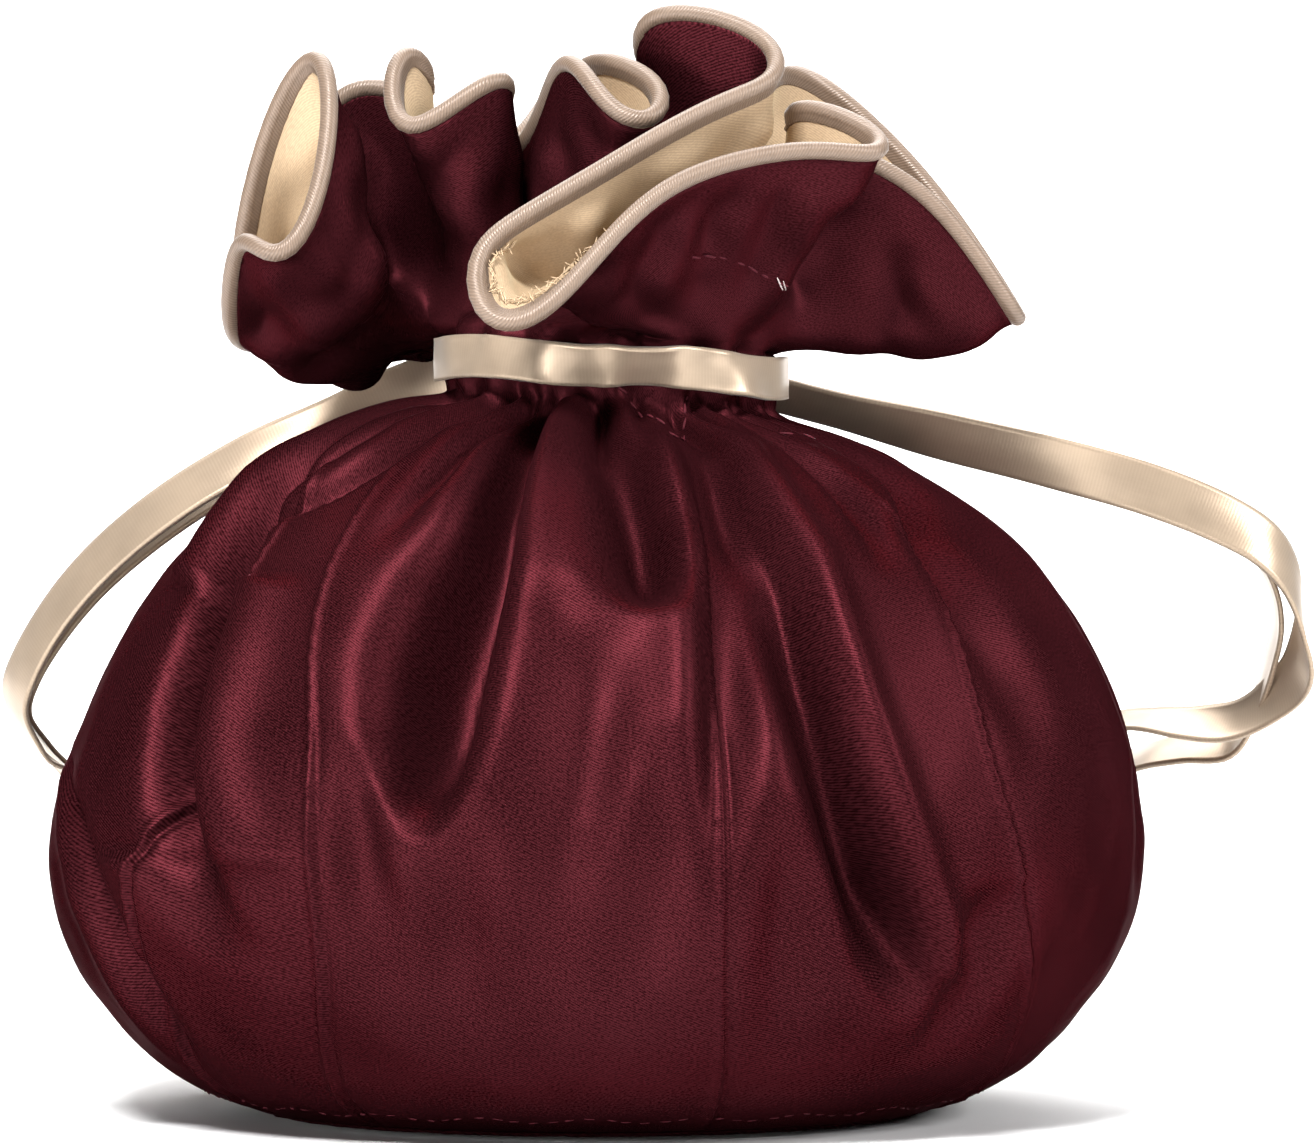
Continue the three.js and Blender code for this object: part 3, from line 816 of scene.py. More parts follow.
def grid_normals(columns):
    """Outward normals of a grid of points [column, row] whose columns close on themselves."""
    along = np.roll(columns, -1, axis=0) - np.roll(columns, 1, axis=0)
    up = np.gradient(columns, axis=1)
    return unit(np.cross(up, along))


def gather(angles):
    """The wave of the gathers round the neck, at angles in radians."""
    return NECK["ripple"] * np.cos(NECK["gathers"] * angles)


def slant(across):
    """How far the neck's slant, lower on the right, lifts a place on it."""
    return math.tan(math.radians(SLANT["degrees"])) * (across - NECK["across"])


# Body


@lru_cache(maxsize=None)
def body_profile():
    """Radius and height along the body's side, finely drawn."""
    sections = np.array([(radius, 0.0, height) for height, radius in BODY_SECTIONS])
    line = smooth_curve(sections, np.linspace(0.0, 1.0, FINE["side"]))
    return line[:, 0], line[:, 2]


def body_radius(heights):
    radii, levels = body_profile()
    return np.interp(heights, np.maximum.accumulate(levels), radii)


def seam_angle(angles, heights):
    """The angle of a seam at each height, in degrees."""
    stops = np.column_stack((SEAM_HEIGHTS, angles, np.zeros(len(angles))))
    line = smooth_curve(stops, np.linspace(0.0, 1.0, FINE["seam"]))
    levels = np.linspace(SEAM_HEIGHTS[0], SEAM_HEIGHTS[-1], FINE["seam_levels"])
    return np.interp(heights, levels, np.interp(levels, line[:, 0], line[:, 1]))


def around(degrees):
    """The same turn, from -180 to 180 degrees."""
    return (degrees + 180.0) % 360.0 - 180.0


@lru_cache(maxsize=None)
def body_slope():
    """How fast the body's radius changes with height down its side, and how far from the neck that is."""
    radii, levels = body_profile()
    side = distances(np.column_stack((radii, levels)))
    return np.gradient(radii, levels), side[-1] - side


def stretch(name, heights):
    """How far something has started or stopped at each height, from 0 to 1."""
    return smooth_step(heights, *BODY_STRETCHES[name])


def fold_relief(degrees, heights):
    """How far the folds move the body's wall outwards, in millimetres."""
    relief = np.zeros_like(degrees)
    radii = body_radius(heights)
    for _, crest, sections in FOLDS:
        levels, angles, depths, lefts, rights = np.array(sections[::-1]).T
        fine = np.linspace(levels[0], levels[-1], FINE["fold_levels"])
        shares = np.linspace(0.0, 1.0, FINE["fold"])
        blend = smooth_curve(np.column_stack((levels, angles, depths)), shares)
        middle = np.interp(heights, fine, np.interp(fine, blend[:, 0], blend[:, 1]))
        fine_depths = np.maximum(np.interp(fine, blend[:, 0], blend[:, 2]), 0.0)
        depth = np.interp(heights, fine, fine_depths, left=0.0)
        left = np.interp(heights, levels, lefts)
        right = np.interp(heights, levels, rights)
        steep = np.minimum(left, right)
        away = np.radians(around(degrees - middle)) * radii
        reach = np.where(away < 0.0, left, right)
        power = np.where(reach > steep, FOLD_SHAPE["long_side"], FOLD_SHAPE["steep_side"])
        relief -= depth * np.exp(-np.abs(away / reach) ** power)
        side = np.where(left < right, -1.0, 1.0)
        crest_away = away - side * FOLD_SHAPE["crest_place"] * steep
        swell = bell(crest_away / (FOLD_SHAPE["crest_reach"] * steep))
        relief += crest * np.minimum(depth / FOLD_SHAPE["full_depth"], 1.0) * swell
    return relief


def pleat_relief(degrees, heights):
    """How far the short pleats below the neck move the body's wall outwards, in millimetres."""
    random = np.random.default_rng(NECK_PLEATS["seed"])
    _, levels = body_profile()
    down = np.interp(heights, levels, body_slope()[1])
    radii = body_radius(heights)
    relief = np.zeros_like(degrees)
    for k in range(NECK_PLEATS["count"]):
        top = 360.0 * k / NECK_PLEATS["count"] + random.uniform(-1.0, 1.0) * NECK_PLEATS["shift"]
        depth, longest, reach = (random.uniform(*NECK_PLEATS[key]) for key in ("depth", "length", "reach"))
        share = down / longest
        middle = top + random.uniform(-1.0, 1.0) * NECK_PLEATS["drift"] * share
        away = np.radians(around(degrees - middle)) * radii
        wide = reach * (NECK_PLEATS["narrow"] + NECK_PLEATS["widen"] * share)
        relief -= depth * (1.0 - smooth_step(share, NECK_PLEATS["fade"], 1.0)) * bell(away / wide)
    return relief


def body_points(degrees, heights):
    """Places on the body's outer face, in millimetres."""
    angles = np.radians(degrees)
    _, levels = body_profile()
    slope = np.interp(heights, levels, body_slope()[0])
    lean = NECK["across"] * smooth_step(heights, 0.0, NECK["height"])
    radii = body_radius(heights) + stretch("gathers_start", heights) * gather(angles)
    level = np.stack((lean + radii * np.cos(angles), radii * np.sin(angles), heights), axis=-1)
    folds = fold_relief(degrees, heights) + pleat_relief(degrees, heights)
    loose = stretch("wrinkles_start", heights) * (1.0 - stretch("wrinkles_stop", heights))
    relief = folds * (1.0 - stretch("folds_stop", heights)) + rumpled(level, BODY_WRINKLES) * loose
    outwards = unit(np.stack((np.cos(angles), np.sin(angles), -slope), axis=-1))
    points = level + outwards * relief[..., None]
    points[..., 2] += slant(points[..., 0]) * smooth_step(heights, SLANT["start"], SLANT["end"])
    return points


# Ruffle


def evenly_spaced(loop):
    """The same loop with its points evenly spaced as seen from above."""
    closed = np.vstack((loop, loop[:1]))
    passed = distances(closed[:, :2])
    places = np.arange(len(loop)) * passed[-1] / len(loop)
    return np.column_stack([np.interp(places, passed, column) for column in closed.T])


def softened(loop):
    """A loop whose bends are a little softer."""
    return loop / 2.0 + (np.roll(loop, 1, axis=0) + np.roll(loop, -1, axis=0)) / 4.0


@lru_cache(maxsize=None)
def unfolded_loops():
    """The ruffle's sections from its edge to a nearly round one, with middles, radii and foldedness."""
    edge = [row[1:] for row in RUFFLE_EDGE]
    count = RUFFLE["columns"]
    loop = evenly_spaced(smooth_curve(edge, np.arange(1, count + 1) / count, closed=True))
    loops = [loop]
    for _ in range(RUFFLE["softenings"]):
        loops.append(evenly_spaced(softened(loops[-1])))
    loops = np.array(loops[RUFFLE["rounding"]:])
    ahead = np.roll(loops, -1, axis=1)
    areas = np.abs((loops[..., 0] * ahead[..., 1] - ahead[..., 0] * loops[..., 1]).sum(axis=1)) / 2.0
    radii = np.sqrt(areas / math.pi)
    lengths = np.linalg.norm((ahead - loops)[..., :2], axis=-1).sum(axis=1)
    return loops, loops.mean(axis=1), radii, lengths / (2.0 * math.pi * radii)


@lru_cache(maxsize=None)
def ruffle_columns():
    """The surface between the ruffle's cloth and lining [column, row], from the collar to the piping."""
    loops, middles, radii, folded = unfolded_loops()
    low = NECK["height"] + GAP / 2.0
    high = NECK["height"] + NECK["collar"]
    neck_radius = NECK["radius"] - CAD_CLOTH - GAP / 2.0
    spokes = loops[-1] - middles[-1]
    angles = np.arctan2(spokes[:, 1], spokes[:, 0])
    reach = neck_radius + gather(angles)
    across = NECK["across"] + reach * np.cos(angles)
    neck = np.column_stack((across, reach * np.sin(angles), np.full_like(reach, high)))
    rows = []
    for k in range(RUFFLE["collar_rows"]):
        row = neck.copy()
        row[:, 2] = lerp(low, high, k / RUFFLE["collar_rows"]) + slant(row[:, 0])
        rows.append(row)
    for share in np.linspace(0.0, 1.0, RUFFLE["rows"]):
        target = 1.0 + (folded[0] - 1.0) * share ** RUFFLE["unfold"]
        after = int(np.argmax(folded <= target)) if folded[-1] <= target else len(folded) - 1
        before = max(after - 1, 0)
        span = folded[before] - folded[after]
        weight = np.clip((folded[before] - target) / span, 0.0, 1.0) if span > 0.0 else 0.0
        loop = lerp(loops[before], loops[after], weight)
        middle = lerp(middles[before], middles[after], weight)
        scale = lerp(neck_radius, radii[0], share) / lerp(radii[before], radii[after], weight)
        centre = lerp(np.array((NECK["across"], 0.0, 0.0)), middles[0], share)
        row = (loop - middle) * scale + centre
        row = lerp(row, neck, (1.0 - share) ** RUFFLE["neck_hold"])
        front = np.clip(-loop[:, 1] / HANG["front_depth"], 0.0, 1.0)
        hang = np.clip(1.0 - (loop[:, 2] - high) / HANG["below"], 0.0, 1.0)
        billow = HANG["front_billow"] * HANG["billow_peak"] * share**2 * (1.0 - share)
        sag = HANG["side_sag"] * HANG["sag_peak"] * (share * (1.0 - share)) ** 1.5
        rise = lerp(high, loop[:, 2], share) + hang * lerp(-sag, billow, front)
        row[:, 2] = rise + (1.0 - share) ** SLANT["fade"] * slant(row[:, 0])
        rows.append(row)
    return np.stack(rows, axis=1)


def ruffle_layers():
    """The same columns with the cloth's small wrinkles, ending inside the piping."""
    columns = ruffle_columns().copy()
    edge = columns[:, -1]
    inwards = unit(columns[:, -2] - edge)
    columns[:, -1] = edge + inwards * RUFFLE_LOOSE["inset"]
    rows = np.arange(columns.shape[1]) - RUFFLE["collar_rows"]
    share = np.clip(rows / (RUFFLE["rows"] - 1), 0.0, 1.0)
    loose = smooth_step(share, *RUFFLE_LOOSE["start"]) * (1.0 - smooth_step(share, *RUFFLE_LOOSE["stop"]))
    drawn_up = columns * np.array((1.0, 1.0, FLUTES["upright"]))
    flutes = FLUTES["depth"] * wrinkles(drawn_up, FLUTES["seed"], FLUTES["wavelength"])
    rumple = rumpled(columns, RUFFLE_WRINKLES) + flutes
    return columns + grid_normals(columns) * (rumple * loose)[..., None]


# Meshes


def loft_mesh(name, rings, across, around_ring, closed=True):
    """A mesh through rings of points [ring, point] in millimetres. In metres, "across" has the U at the start
    and the end of each span, and "around_ring" the V of each point and of the ring's close."""
    count, size = rings.shape[:2]
    spans = count if closed else count - 1
    i, k = np.meshgrid(np.arange(spans), np.arange(size), indexing="ij")
    j = (i + 1) % count
    turn = (k + 1) % size
    quads = np.stack((i * size + k, j * size + k, j * size + turn, i * size + turn), axis=-1).reshape(-1, 4)
    u = across[i][..., (0, 1, 1, 0)]
    v = np.stack((around_ring[k], around_ring[k], around_ring[k + 1], around_ring[k + 1]), axis=-1)
    uvs = np.stack((u, v), axis=-1).reshape(-1, 4, 2)
    points = rings.reshape(-1, 3) * MM
    corners = points[quads]
    volume = np.einsum("ij,ij->i", corners[:, 0], np.cross(corners[:, 1], corners[:, 2])).sum()
    volume += np.einsum("ij,ij->i", corners[:, 0], np.cross(corners[:, 2], corners[:, 3])).sum()
    faces = quads.tolist()
    uvs = uvs.reshape(-1, 2)
    if not closed:
        first = list(range(size))
        last = list(range((count - 1) * size, count * size))
        faces += [first, last[::-1]]
        ends = np.column_stack((np.zeros(size), around_ring[:-1]))
        uvs = np.concatenate((uvs, ends, ends[::-1]))
    mesh = bpy.data.meshes.new(name)
    mesh.from_pydata(points.tolist(), [], faces)
    layer = mesh.uv_layers.new(name="Cloth")
    layer.data.foreach_set("uv", uvs.astype(np.float32).ravel())
    if volume < 0.0:
        mesh.flip_normals()
    mesh.shade_smooth()
    mesh.validate()
    return mesh


def wall_mesh(name, columns, inner, outer, across, along):
    """A sheet of cloth between two distances outwards from a grid of points, in millimetres."""
    normals = grid_normals(columns)
    faces = (columns + normals * outer, (columns + normals * inner)[:, ::-1])
    rings = np.concatenate(faces, axis=1)
    ring_v = np.concatenate((along, along[::-1], along[:1]))
    return loft_mesh(name, rings, across, ring_v)


def column_spans(columns):
    """Where each span of a line that closes on itself starts and ends, in metres along it."""
    edge = np.vstack((columns, columns[:1]))
    passed = distances(edge) * MM
    return np.column_stack((passed[:-1], passed[1:]))


def shown(name, mesh, material):
    item = bpy.data.objects.new(name, mesh)
    bpy.context.scene.collection.objects.link(item)
    mesh.materials.clear()
    mesh.materials.append(material)
    return item


def dress(item, slot, *nodes):
    """Hangs a finished piece on the pouch in place of its plain solids."""
    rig.ride(item, "root")
    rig.slot(item, slot)
    if nodes:
        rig.replaces(item, *nodes)
    return item


# Finishes


class Link:
    """A shader socket that Python's own operators turn into Math nodes."""

    def __init__(self, finish, socket):
        self.finish = finish
        self.socket = socket

    def math(self, operation, *values):
        return self.finish.node("ShaderNodeMath", {"operation": operation}, dict(enumerate(values)))

    def __add__(self, other):
        return self.math("ADD", self, other)

    def __radd__(self, other):
        return self.math("ADD", other, self)

    def __sub__(self, other):
        return self.math("SUBTRACT", self, other)

    def __rsub__(self, other):
        return self.math("SUBTRACT", other, self)

    def __mul__(self, other):
        return self.math("MULTIPLY", self, other)

    def __rmul__(self, other):
        return self.math("MULTIPLY", other, self)

    def __truediv__(self, other):
        return self.math("DIVIDE", self, other)

    def __rtruediv__(self, other):
        return self.math("DIVIDE", other, self)

    def wave(self, pitch, shift=0.0):
        """A wave from 0 to 1 that comes again at every pitch."""
        turns = self * (2.0 * math.pi / pitch) + shift
        return self.math("SINE", turns) * 0.5 + 0.5

    def absolute(self):
        return self.math("ABSOLUTE", self)

    def step(self, low, high):
        sockets = {"Value": self, "From Min": low, "From Max": high}
        return self.finish.node("ShaderNodeMapRange", {"interpolation_type": "SMOOTHSTEP"}, sockets)


class Finish:
    """A material and its nodes."""

    def __init__(self, name):
        self.material = bpy.data.materials.new(name)
        self.material.use_nodes = True
        self.tree = self.material.node_tree
        self.tree.nodes.clear()

    def node(self, kind, settings=None, sockets=None, output=0):
        """Adds a node: its settings first, then the values or links of its sockets."""
        node = self.tree.nodes.new(kind)
        for key, value in (settings or {}).items():
            setattr(node, key, value)
        for key, value in (sockets or {}).items():
            if isinstance(value, Link):
                self.tree.links.new(value.socket, node.inputs[key])
            else:
                node.inputs[key].default_value = value
        return Link(self, node.outputs[output]) if node.outputs else None

    def surface(self, sockets):
        shader = self.node("ShaderNodeBsdfPrincipled", {}, sockets)
        self.node("ShaderNodeOutputMaterial", {"target": "ALL"}, {"Surface": shader})
        return self.material

    def blend(self, share, start, end):
        """A mix of two colours, which are the node's inputs 6 and 7 and its output 2."""
        sockets = {"Factor": share, 6: start, 7: end}
        return self.node("ShaderNodeMix", {"data_type": "RGBA"}, sockets, output=2)

    def cloth_place(self):
        """The piece's own U and V, in metres along and across its cloth."""
        place = self.node("ShaderNodeUVMap", {"uv_map": "Cloth"})
        u = self.node("ShaderNodeSeparateXYZ", {}, {0: place})
        return u, Link(self, u.socket.node.outputs[1])

    def noise(self, scale, detail=2.0, stretch=(1.0, 1.0, 1.0), cloth=False):
        """An uneven value about 0.5, over the piece or along its cloth, with features 1/scale metres wide."""
        if cloth:
            place = self.node("ShaderNodeUVMap", {"uv_map": "Cloth"})
        else:
            place = self.node("ShaderNodeTexCoord", {}, {}, output="Object")
        turned = self.node("ShaderNodeMapping", {}, {"Vector": place, "Scale": stretch})
        return self.node("ShaderNodeTexNoise", {}, {"Vector": turned, "Scale": scale, "Detail": detail})

    def bump(self, height, strength, distance):
        sockets = {"Height": height, "Strength": strength, "Distance": distance}
        return self.node("ShaderNodeBump", {}, sockets)


def rgba(values, light=1.0):
    return tuple(min(value * light, 1.0) for value in values) + (1.0,)


def deeper(tint, share):
    return [value * share for value in tint]


def satin(name, light, dark, roughness, metallic, pitch, sheen):
    """Woven satin: long floats of thread across the cloth with short ties between them."""
    finish = Finish(name)
    u, v = finish.cloth_place()
    drift = finish.noise(260.0, 2.0, cloth=True)
    twill = (u + v * 2.0).wave(pitch, drift * 3.0)
    floats = finish.noise(2600.0, 2.0, (1.0, 1.4, 1.0), cloth=True)
    weave = twill * 0.24 + floats * 0.76
    clouds = finish.noise(55.0, 3.0)
    colour_share = (weave * 0.85 + clouds * 0.2).step(0.35, 0.69)
    sockets = {
        "Base Color": finish.blend(colour_share, rgba(dark), rgba(light)),
        "Roughness": roughness + (floats - 0.5) * 0.22 + (clouds - 0.5) * 0.1,
        "Metallic": metallic,
        "Specular IOR Level": 0.0,
        "Specular Tint": rgba(light, 2.5),
        "Sheen Weight": sheen,
        "Sheen Roughness": 0.4,
        "Sheen Tint": rgba(light, 3.0),
        "Normal": finish.bump(weave, 0.2, 0.00012),
    }
    return finish.surface(sockets)


def ribbed_satin(name, light, dark, roughness, pitch, lean):
    """Satin cut across its threads, with fine leaning ribs round a piping."""
    finish = Finish(name)
    u, v = finish.cloth_place()
    drift = finish.noise(300.0, 2.0, cloth=True)
    ribs = (u + v * lean).wave(pitch, drift * 4.0)
    streaks = finish.noise(420.0, 3.0, (1.0, 0.12, 1.0), cloth=True)
    clouds = finish.noise(70.0, 3.0)
    share = (ribs * 0.42 + streaks * 0.4 + clouds * 0.3).step(0.25, 0.85)
    sockets = {
        "Base Color": finish.blend(share, rgba(dark), rgba(light)),
        "Roughness": roughness + (streaks - 0.5) * 0.2,
        "Metallic": 0.12,
        "Sheen Weight": 0.1,
        "Sheen Roughness": 0.35,
        "Normal": finish.bump(ribs * 0.7 + streaks * 0.3, 0.4, 0.0001),
    }
    return finish.surface(sockets)


def ribbon_satin(name, light, dark, width, pick, bead):
    """Ribbon satin: shiny floats along the ribbon, fine picks across it, a woven edge on each side and broad clouds of
    painted highlight and shade.
    """
    finish = Finish(name)
    u, v = finish.cloth_place()
    picks = u.wave(pick)
    lines = finish.noise(3000.0, 1.0, (0.05, 1.0, 1.0), cloth=True)
    edge = (v / width - 0.5).absolute().step(0.41, 0.47)
    beads = u.wave(bead)
    # Broad clouds that paint patches of highlight and shade into the ribbon's colour
    clouds = finish.noise(110.0, 3.0)
    share = (lines * 0.06 + clouds * 0.75 + picks * 0.08 - edge * (0.05 + beads * 0.12)).step(0.1, 0.75)
    height = lines * 0.05 + picks * 0.25 + edge * (0.6 + beads * 0.5)
    sockets = {
        "Base Color": finish.blend(share, rgba(dark), rgba(light)),
        "Roughness": 0.35 + edge * 0.15 + (lines - 0.5) * 0.06,
        "Metallic": 0.5,
        "Sheen Weight": 0.15,
        "Normal": finish.bump(height, 0.16, 0.00012),
    }
    return finish.surface(sockets)


def thread_finish(name, tint):
    """Twisted sewing thread."""
    finish = Finish(name)
    fibres = finish.noise(6000.0, 2.0)
    sockets = {
        "Base Color": finish.blend(fibres.step(0.3, 0.7), rgba(tint, 0.6), rgba(tint, 1.2)),
        "Roughness": 0.65 + (fibres - 0.5) * 0.2,
        "Specular IOR Level": 0.1,
    }
    return finish.surface(sockets)


def finish_of(name, make):
    """One material for each name, made when a piece first needs it."""
    return bpy.data.materials.get(name) or make(name)


def settings():
    return bpy.context.scene.pouch_sizes, bpy.context.scene.pouch_colours


def burgundy_satin():
    _, tints = settings()
    return finish_of(
        "burgundy satin",
        lambda name: satin(
            name,
            tints.burgundy,
            tints.burgundy_deep,
            roughness=0.48,
            metallic=0.65,
            pitch=0.00064,
            sheen=0.0,
        ),
    )


def gold_satin():
    _, tints = settings()
    deep = deeper(tints.gold, 0.74)
    return finish_of(
        "gold satin",
        lambda name: satin(
            name, tints.gold, deep, roughness=0.45, metallic=0.15, pitch=0.00072, sheen=0.2
        ),
    )


def ribbon_finish():
    sizes, tints = settings()
    # The deeper tint is the ribbon's darker woven edge and the painted shade of its cloudy patches
    deep = deeper(tints.ribbon, 0.72)
    return finish_of(
        "ribbon satin",
        lambda name: ribbon_satin(
            name, tints.ribbon, deep, sizes.ribbon_width, pick=0.00042, bead=0.0006
        ),
    )


def piping_satin():
    _, tints = settings()
    deep = deeper(tints.champagne, 0.72)
    return finish_of(
        "piping satin",
        lambda name: ribbed_satin(
            name, tints.champagne, deep, roughness=0.42, pitch=0.00040, lean=0.6
        ),
    )


# Ribbons


def ribbon_frame(route, facings):
    """A ribbon's evenly spaced middle line with the directions of its width and its face."""
    shares = np.linspace(0.0, 1.0, DRAWSTRING["fine"] * len(route))
    line = even_line(smooth_curve(route, shares), DRAWSTRING["steps"])
    along = unit(np.gradient(line, axis=0))
    places = distances(line) / distances(line)[-1]
    stops, *aims = np.array(facings).T
    faces = np.column_stack([np.interp(places, stops, aim) for aim in aims])
    for _ in range(DRAWSTRING["smoothings"]):
        faces[1:-1] = (faces[:-2] + 2.0 * faces[1:-1] + faces[2:]) / 4.0
    faces = unit(faces - along * np.einsum("ij,ij->i", faces, along)[:, None])
    return line, np.cross(faces, along), faces


def ribbon_rings(line, widths, faces, width, thickness, cup):
    """Rings of a ribbon's section, which is cupped a little and thicker at its two woven edges."""
    across = np.linspace(-0.5, 0.5, RIBBON_SECTION["points"])
    edge = smooth_step(np.abs(across), *RIBBON_SECTION["edge"])
    half = thickness * (0.5 + RIBBON_SECTION["swell"] * edge)
    bow = cup * (0.25 - across**2)
    spread = np.concatenate((across, across[::-1])) * width
    height = np.concatenate((bow + half, (bow - half)[::-1]))
    rings = line[:, None] + widths[:, None] * spread[None, :, None]
    rings = rings + faces[:, None] * height[None, :, None]
    side = (across + 0.5) * width * MM
    return rings, np.concatenate((side, side[::-1], side[:1]))


def drawstring(name, route, facings, node):
    sizes, _ = settings()
    line, widths, faces = ribbon_frame(route, facings)
    wide = sizes.ribbon_width / MM
    rings, ring_v = ribbon_rings(line, widths, faces, wide, sizes.ribbon / MM, DRAWSTRING["cup"])
    passed = distances(line) * MM
    mesh = loft_mesh(name, rings, np.column_stack((passed[:-1], passed[1:])), ring_v, closed=False)
    item = dress(shown(name, mesh, ribbon_finish()), "champagne_ribbon", node)
    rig.cord(
        item,
        exit=line[0] * MM,
        length=float(passed[-1]),
        diameter=sizes.ribbon_width,
        far_end="object",
        stiffness="limp",
        path=line * MM,
    )


class POUCH_OT_drawstrings(bpy.types.Operator):
    """Makes the two ribbon loops that draw the pouch shut"""

    bl_idname = "pouch.drawstrings"
    bl_label = "Drawstrings"

    def execute(self, context):
        drawstring("left_drawstring_ribbon", LEFT_ROUTE, LEFT_FACINGS, "drawstring_left")
        drawstring("right_drawstring_ribbon", RIGHT_ROUTE, RIGHT_FACINGS, "drawstring_right")
        return {"FINISHED"}


class POUCH_OT_neck_ribbon(bpy.types.Operator):
    """Makes the ribbon that is drawn tight round the neck"""

    bl_idname = "pouch.neck_ribbon"
    bl_label = "Neck ribbon"

    def execute(self, context):
        sizes, _ = settings()
        angles = np.linspace(0.0, 2.0 * math.pi, NECK_BAND["columns"], endpoint=False)
        spokes = np.column_stack((np.cos(angles), np.sin(angles), np.zeros_like(angles)))
        ripple = waves(angles, *NECK_BAND["ripples"])
        clear = NECK["radius"] + NECK["ripple"] + GAP + NECK_BAND["clear"]
        reach = clear + NECK_BAND["ripple"] * ripple
        line = spokes * reach[:, None]
        line[:, 0] += NECK["across"]
        line[:, 2] = NECK["height"] + NECK_BAND["up"] + slant(line[:, 0]) + waves(angles, NECK_BAND["bob"])
        broad, count, start = NECK_BAND["crumple"]
        crumple = broad * np.sin(count * angles + start + np.sin(2.0 * angles))
        narrow, count, sway = NECK_BAND["fine_crumple"]
        crumple += narrow * np.sin(count * angles + sway * ripple)
        lean = np.radians(crumple * np.sin(angles) ** 2)[:, None]
        widths = UP * np.cos(lean) + spokes * np.sin(lean)
        faces = spokes * np.cos(lean) - UP * np.sin(lean)
        wide = NECK_BAND["width_share"] * sizes.ribbon_width / MM
        rings, ring_v = ribbon_rings(line, widths, faces, wide, sizes.ribbon / MM, NECK_BAND["cup"])
        mesh = loft_mesh("neck_band", rings, column_spans(line), ring_v)
        dress(shown("neck_band", mesh, ribbon_finish()), "champagne_ribbon", "neck_ribbon")
        return {"FINISHED"}


class POUCH_OT_base(bpy.types.Operator):
    """Makes the round bottom panel"""

    bl_idname = "pouch.base"
    bl_label = "Base panel"

    def execute(self, context):
        sizes, _ = settings()
        radius = sizes.base_radius / MM
        thick = sizes.base / MM
        columns = BASE["columns"]
        angles = np.linspace(0.0, 2.0 * math.pi, columns, endpoint=False)
        profile = [(share, 0.0) for share in np.linspace(*BASE["under"], BASE["steps"])]
        profile += BASE["rim"]
        profile += [(share, 1.0) for share in np.linspace(*BASE["over"], BASE["steps"])]
        profile = np.array(profile) * (radius, thick)
        ragged = waves(angles, *BASE["ragged"])[:, None]
        outermost = smooth_step(profile[None, :, 0] / radius, BASE["ragged_from"], 1.0)
        reach = profile[None, :, 0] + ragged * outermost
        levels = np.broadcast_to(profile[:, 1], reach.shape)
        rings = np.stack((reach * np.cos(angles)[:, None], reach * np.sin(angles)[:, None], levels), axis=-1)
        turns = np.arange(columns + 1) * (2.0 * math.pi / columns) * BASE["cloth_turn"] * sizes.base_radius
        ring_v = np.concatenate((profile[:, 0], profile[:1, 0])) * MM
        mesh = loft_mesh("round_base", rings, np.column_stack((turns[:-1], turns[1:])), ring_v)
        item = dress(shown("round_base", mesh, burgundy_satin()), "burgundy_satin", "base_panel")
        diameter = 2.0 * sizes.base_radius
        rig.sheet(item, flat=(diameter, diameter), held="laid", area=math.pi * sizes.base_radius**2)
        return {"FINISHED"}


def panel_shares(columns):
    """Places across one panel, closer together beside its two seams."""
    even = np.arange(columns + 1) / columns
    return 0.5 * even + 0.25 * (1.0 - np.cos(math.pi * even))


def body_grid():
    """The body's outer face [column, row] with its seams, and the places along its cloth."""
    radii, levels = body_profile()
    side = even_line(np.column_stack((radii, levels)), BODY_ROWS)
    heights = side[:, 1]
    along = distances(side)
    lines = [seam_angle(angles, heights) for _, angles in SEAMS]
    lines.append(lines[0] + 360.0)
    shares = panel_shares(PANEL_COLUMNS)
    degrees = []
    spans = []
    beside = []
    for left, right in zip(lines[:-1], lines[1:]):
        wide = np.radians(right - left).mean() * PANEL_RADIUS
        for k in range(PANEL_COLUMNS):
            degrees.append(lerp(left, right, shares[k]))
            spans.append(((shares[k] - 0.5) * wide * MM, (shares[k + 1] - 0.5) * wide * MM))
            nearest = shares[k] if shares[k] < 0.5 else shares[k] - 1.0
            away = nearest * np.radians(right - left)
            beside.append(away * body_radius(heights))
    degrees = np.array(degrees)
    beside = np.array(beside)
    level = np.broadcast_to(heights, degrees.shape)
    columns = body_points(degrees, level)
    normals = grid_normals(columns)
    groove = -SEAM_GROOVE["depth"] * bell(beside / SEAM_GROOVE["reach"])
    ridge_away = (beside - SEAM_GROOVE["ridge_place"]) / SEAM_GROOVE["ridge_reach"]
    ridge = SEAM_GROOVE["ridge"] * bell(ridge_away) * (1.0 - stretch("ridges_stop", level))
    drift = SEAM_GROOVE["drift"] * np.sin(along * SEAM_GROOVE["drift_rate"])
    swing = np.sin(along * (2.0 * math.pi / SEAM_GROOVE["pucker_pitch"]) + drift)
    pucker = SEAM_GROOVE["pucker"] * swing[None, :] * bell(beside / SEAM_GROOVE["pucker_reach"])
    stitched = stretch("seams_start", level) * (1.0 - stretch("seams_stop", level))
    columns = columns + normals * ((groove + ridge + pucker) * stitched)[..., None]
    return columns, np.array(spans), along


class POUCH_OT_body(bpy.types.Operator):
    """Makes the gathered body from its base seam to the neck"""

    bl_idname = "pouch.body"
    bl_label = "Body"

    def execute(self, context):
        sizes, _ = settings()
        columns, spans, along = body_grid()
        across = spans[::-1, ::-1]
        mesh = wall_mesh("gathered_body", columns[::-1], -sizes.cloth / MM, 0.0, across, along * MM)
        item = dress(shown("gathered_body", mesh, burgundy_satin()), "burgundy_satin", "body")
        girth = 2.0 * math.pi * max(radius for _, radius in BODY_SECTIONS) * MM
        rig.sheet(item, flat=(girth, float(along[-1]) * MM), held="gathered", rests_on=["round_base"])
        return {"FINISHED"}


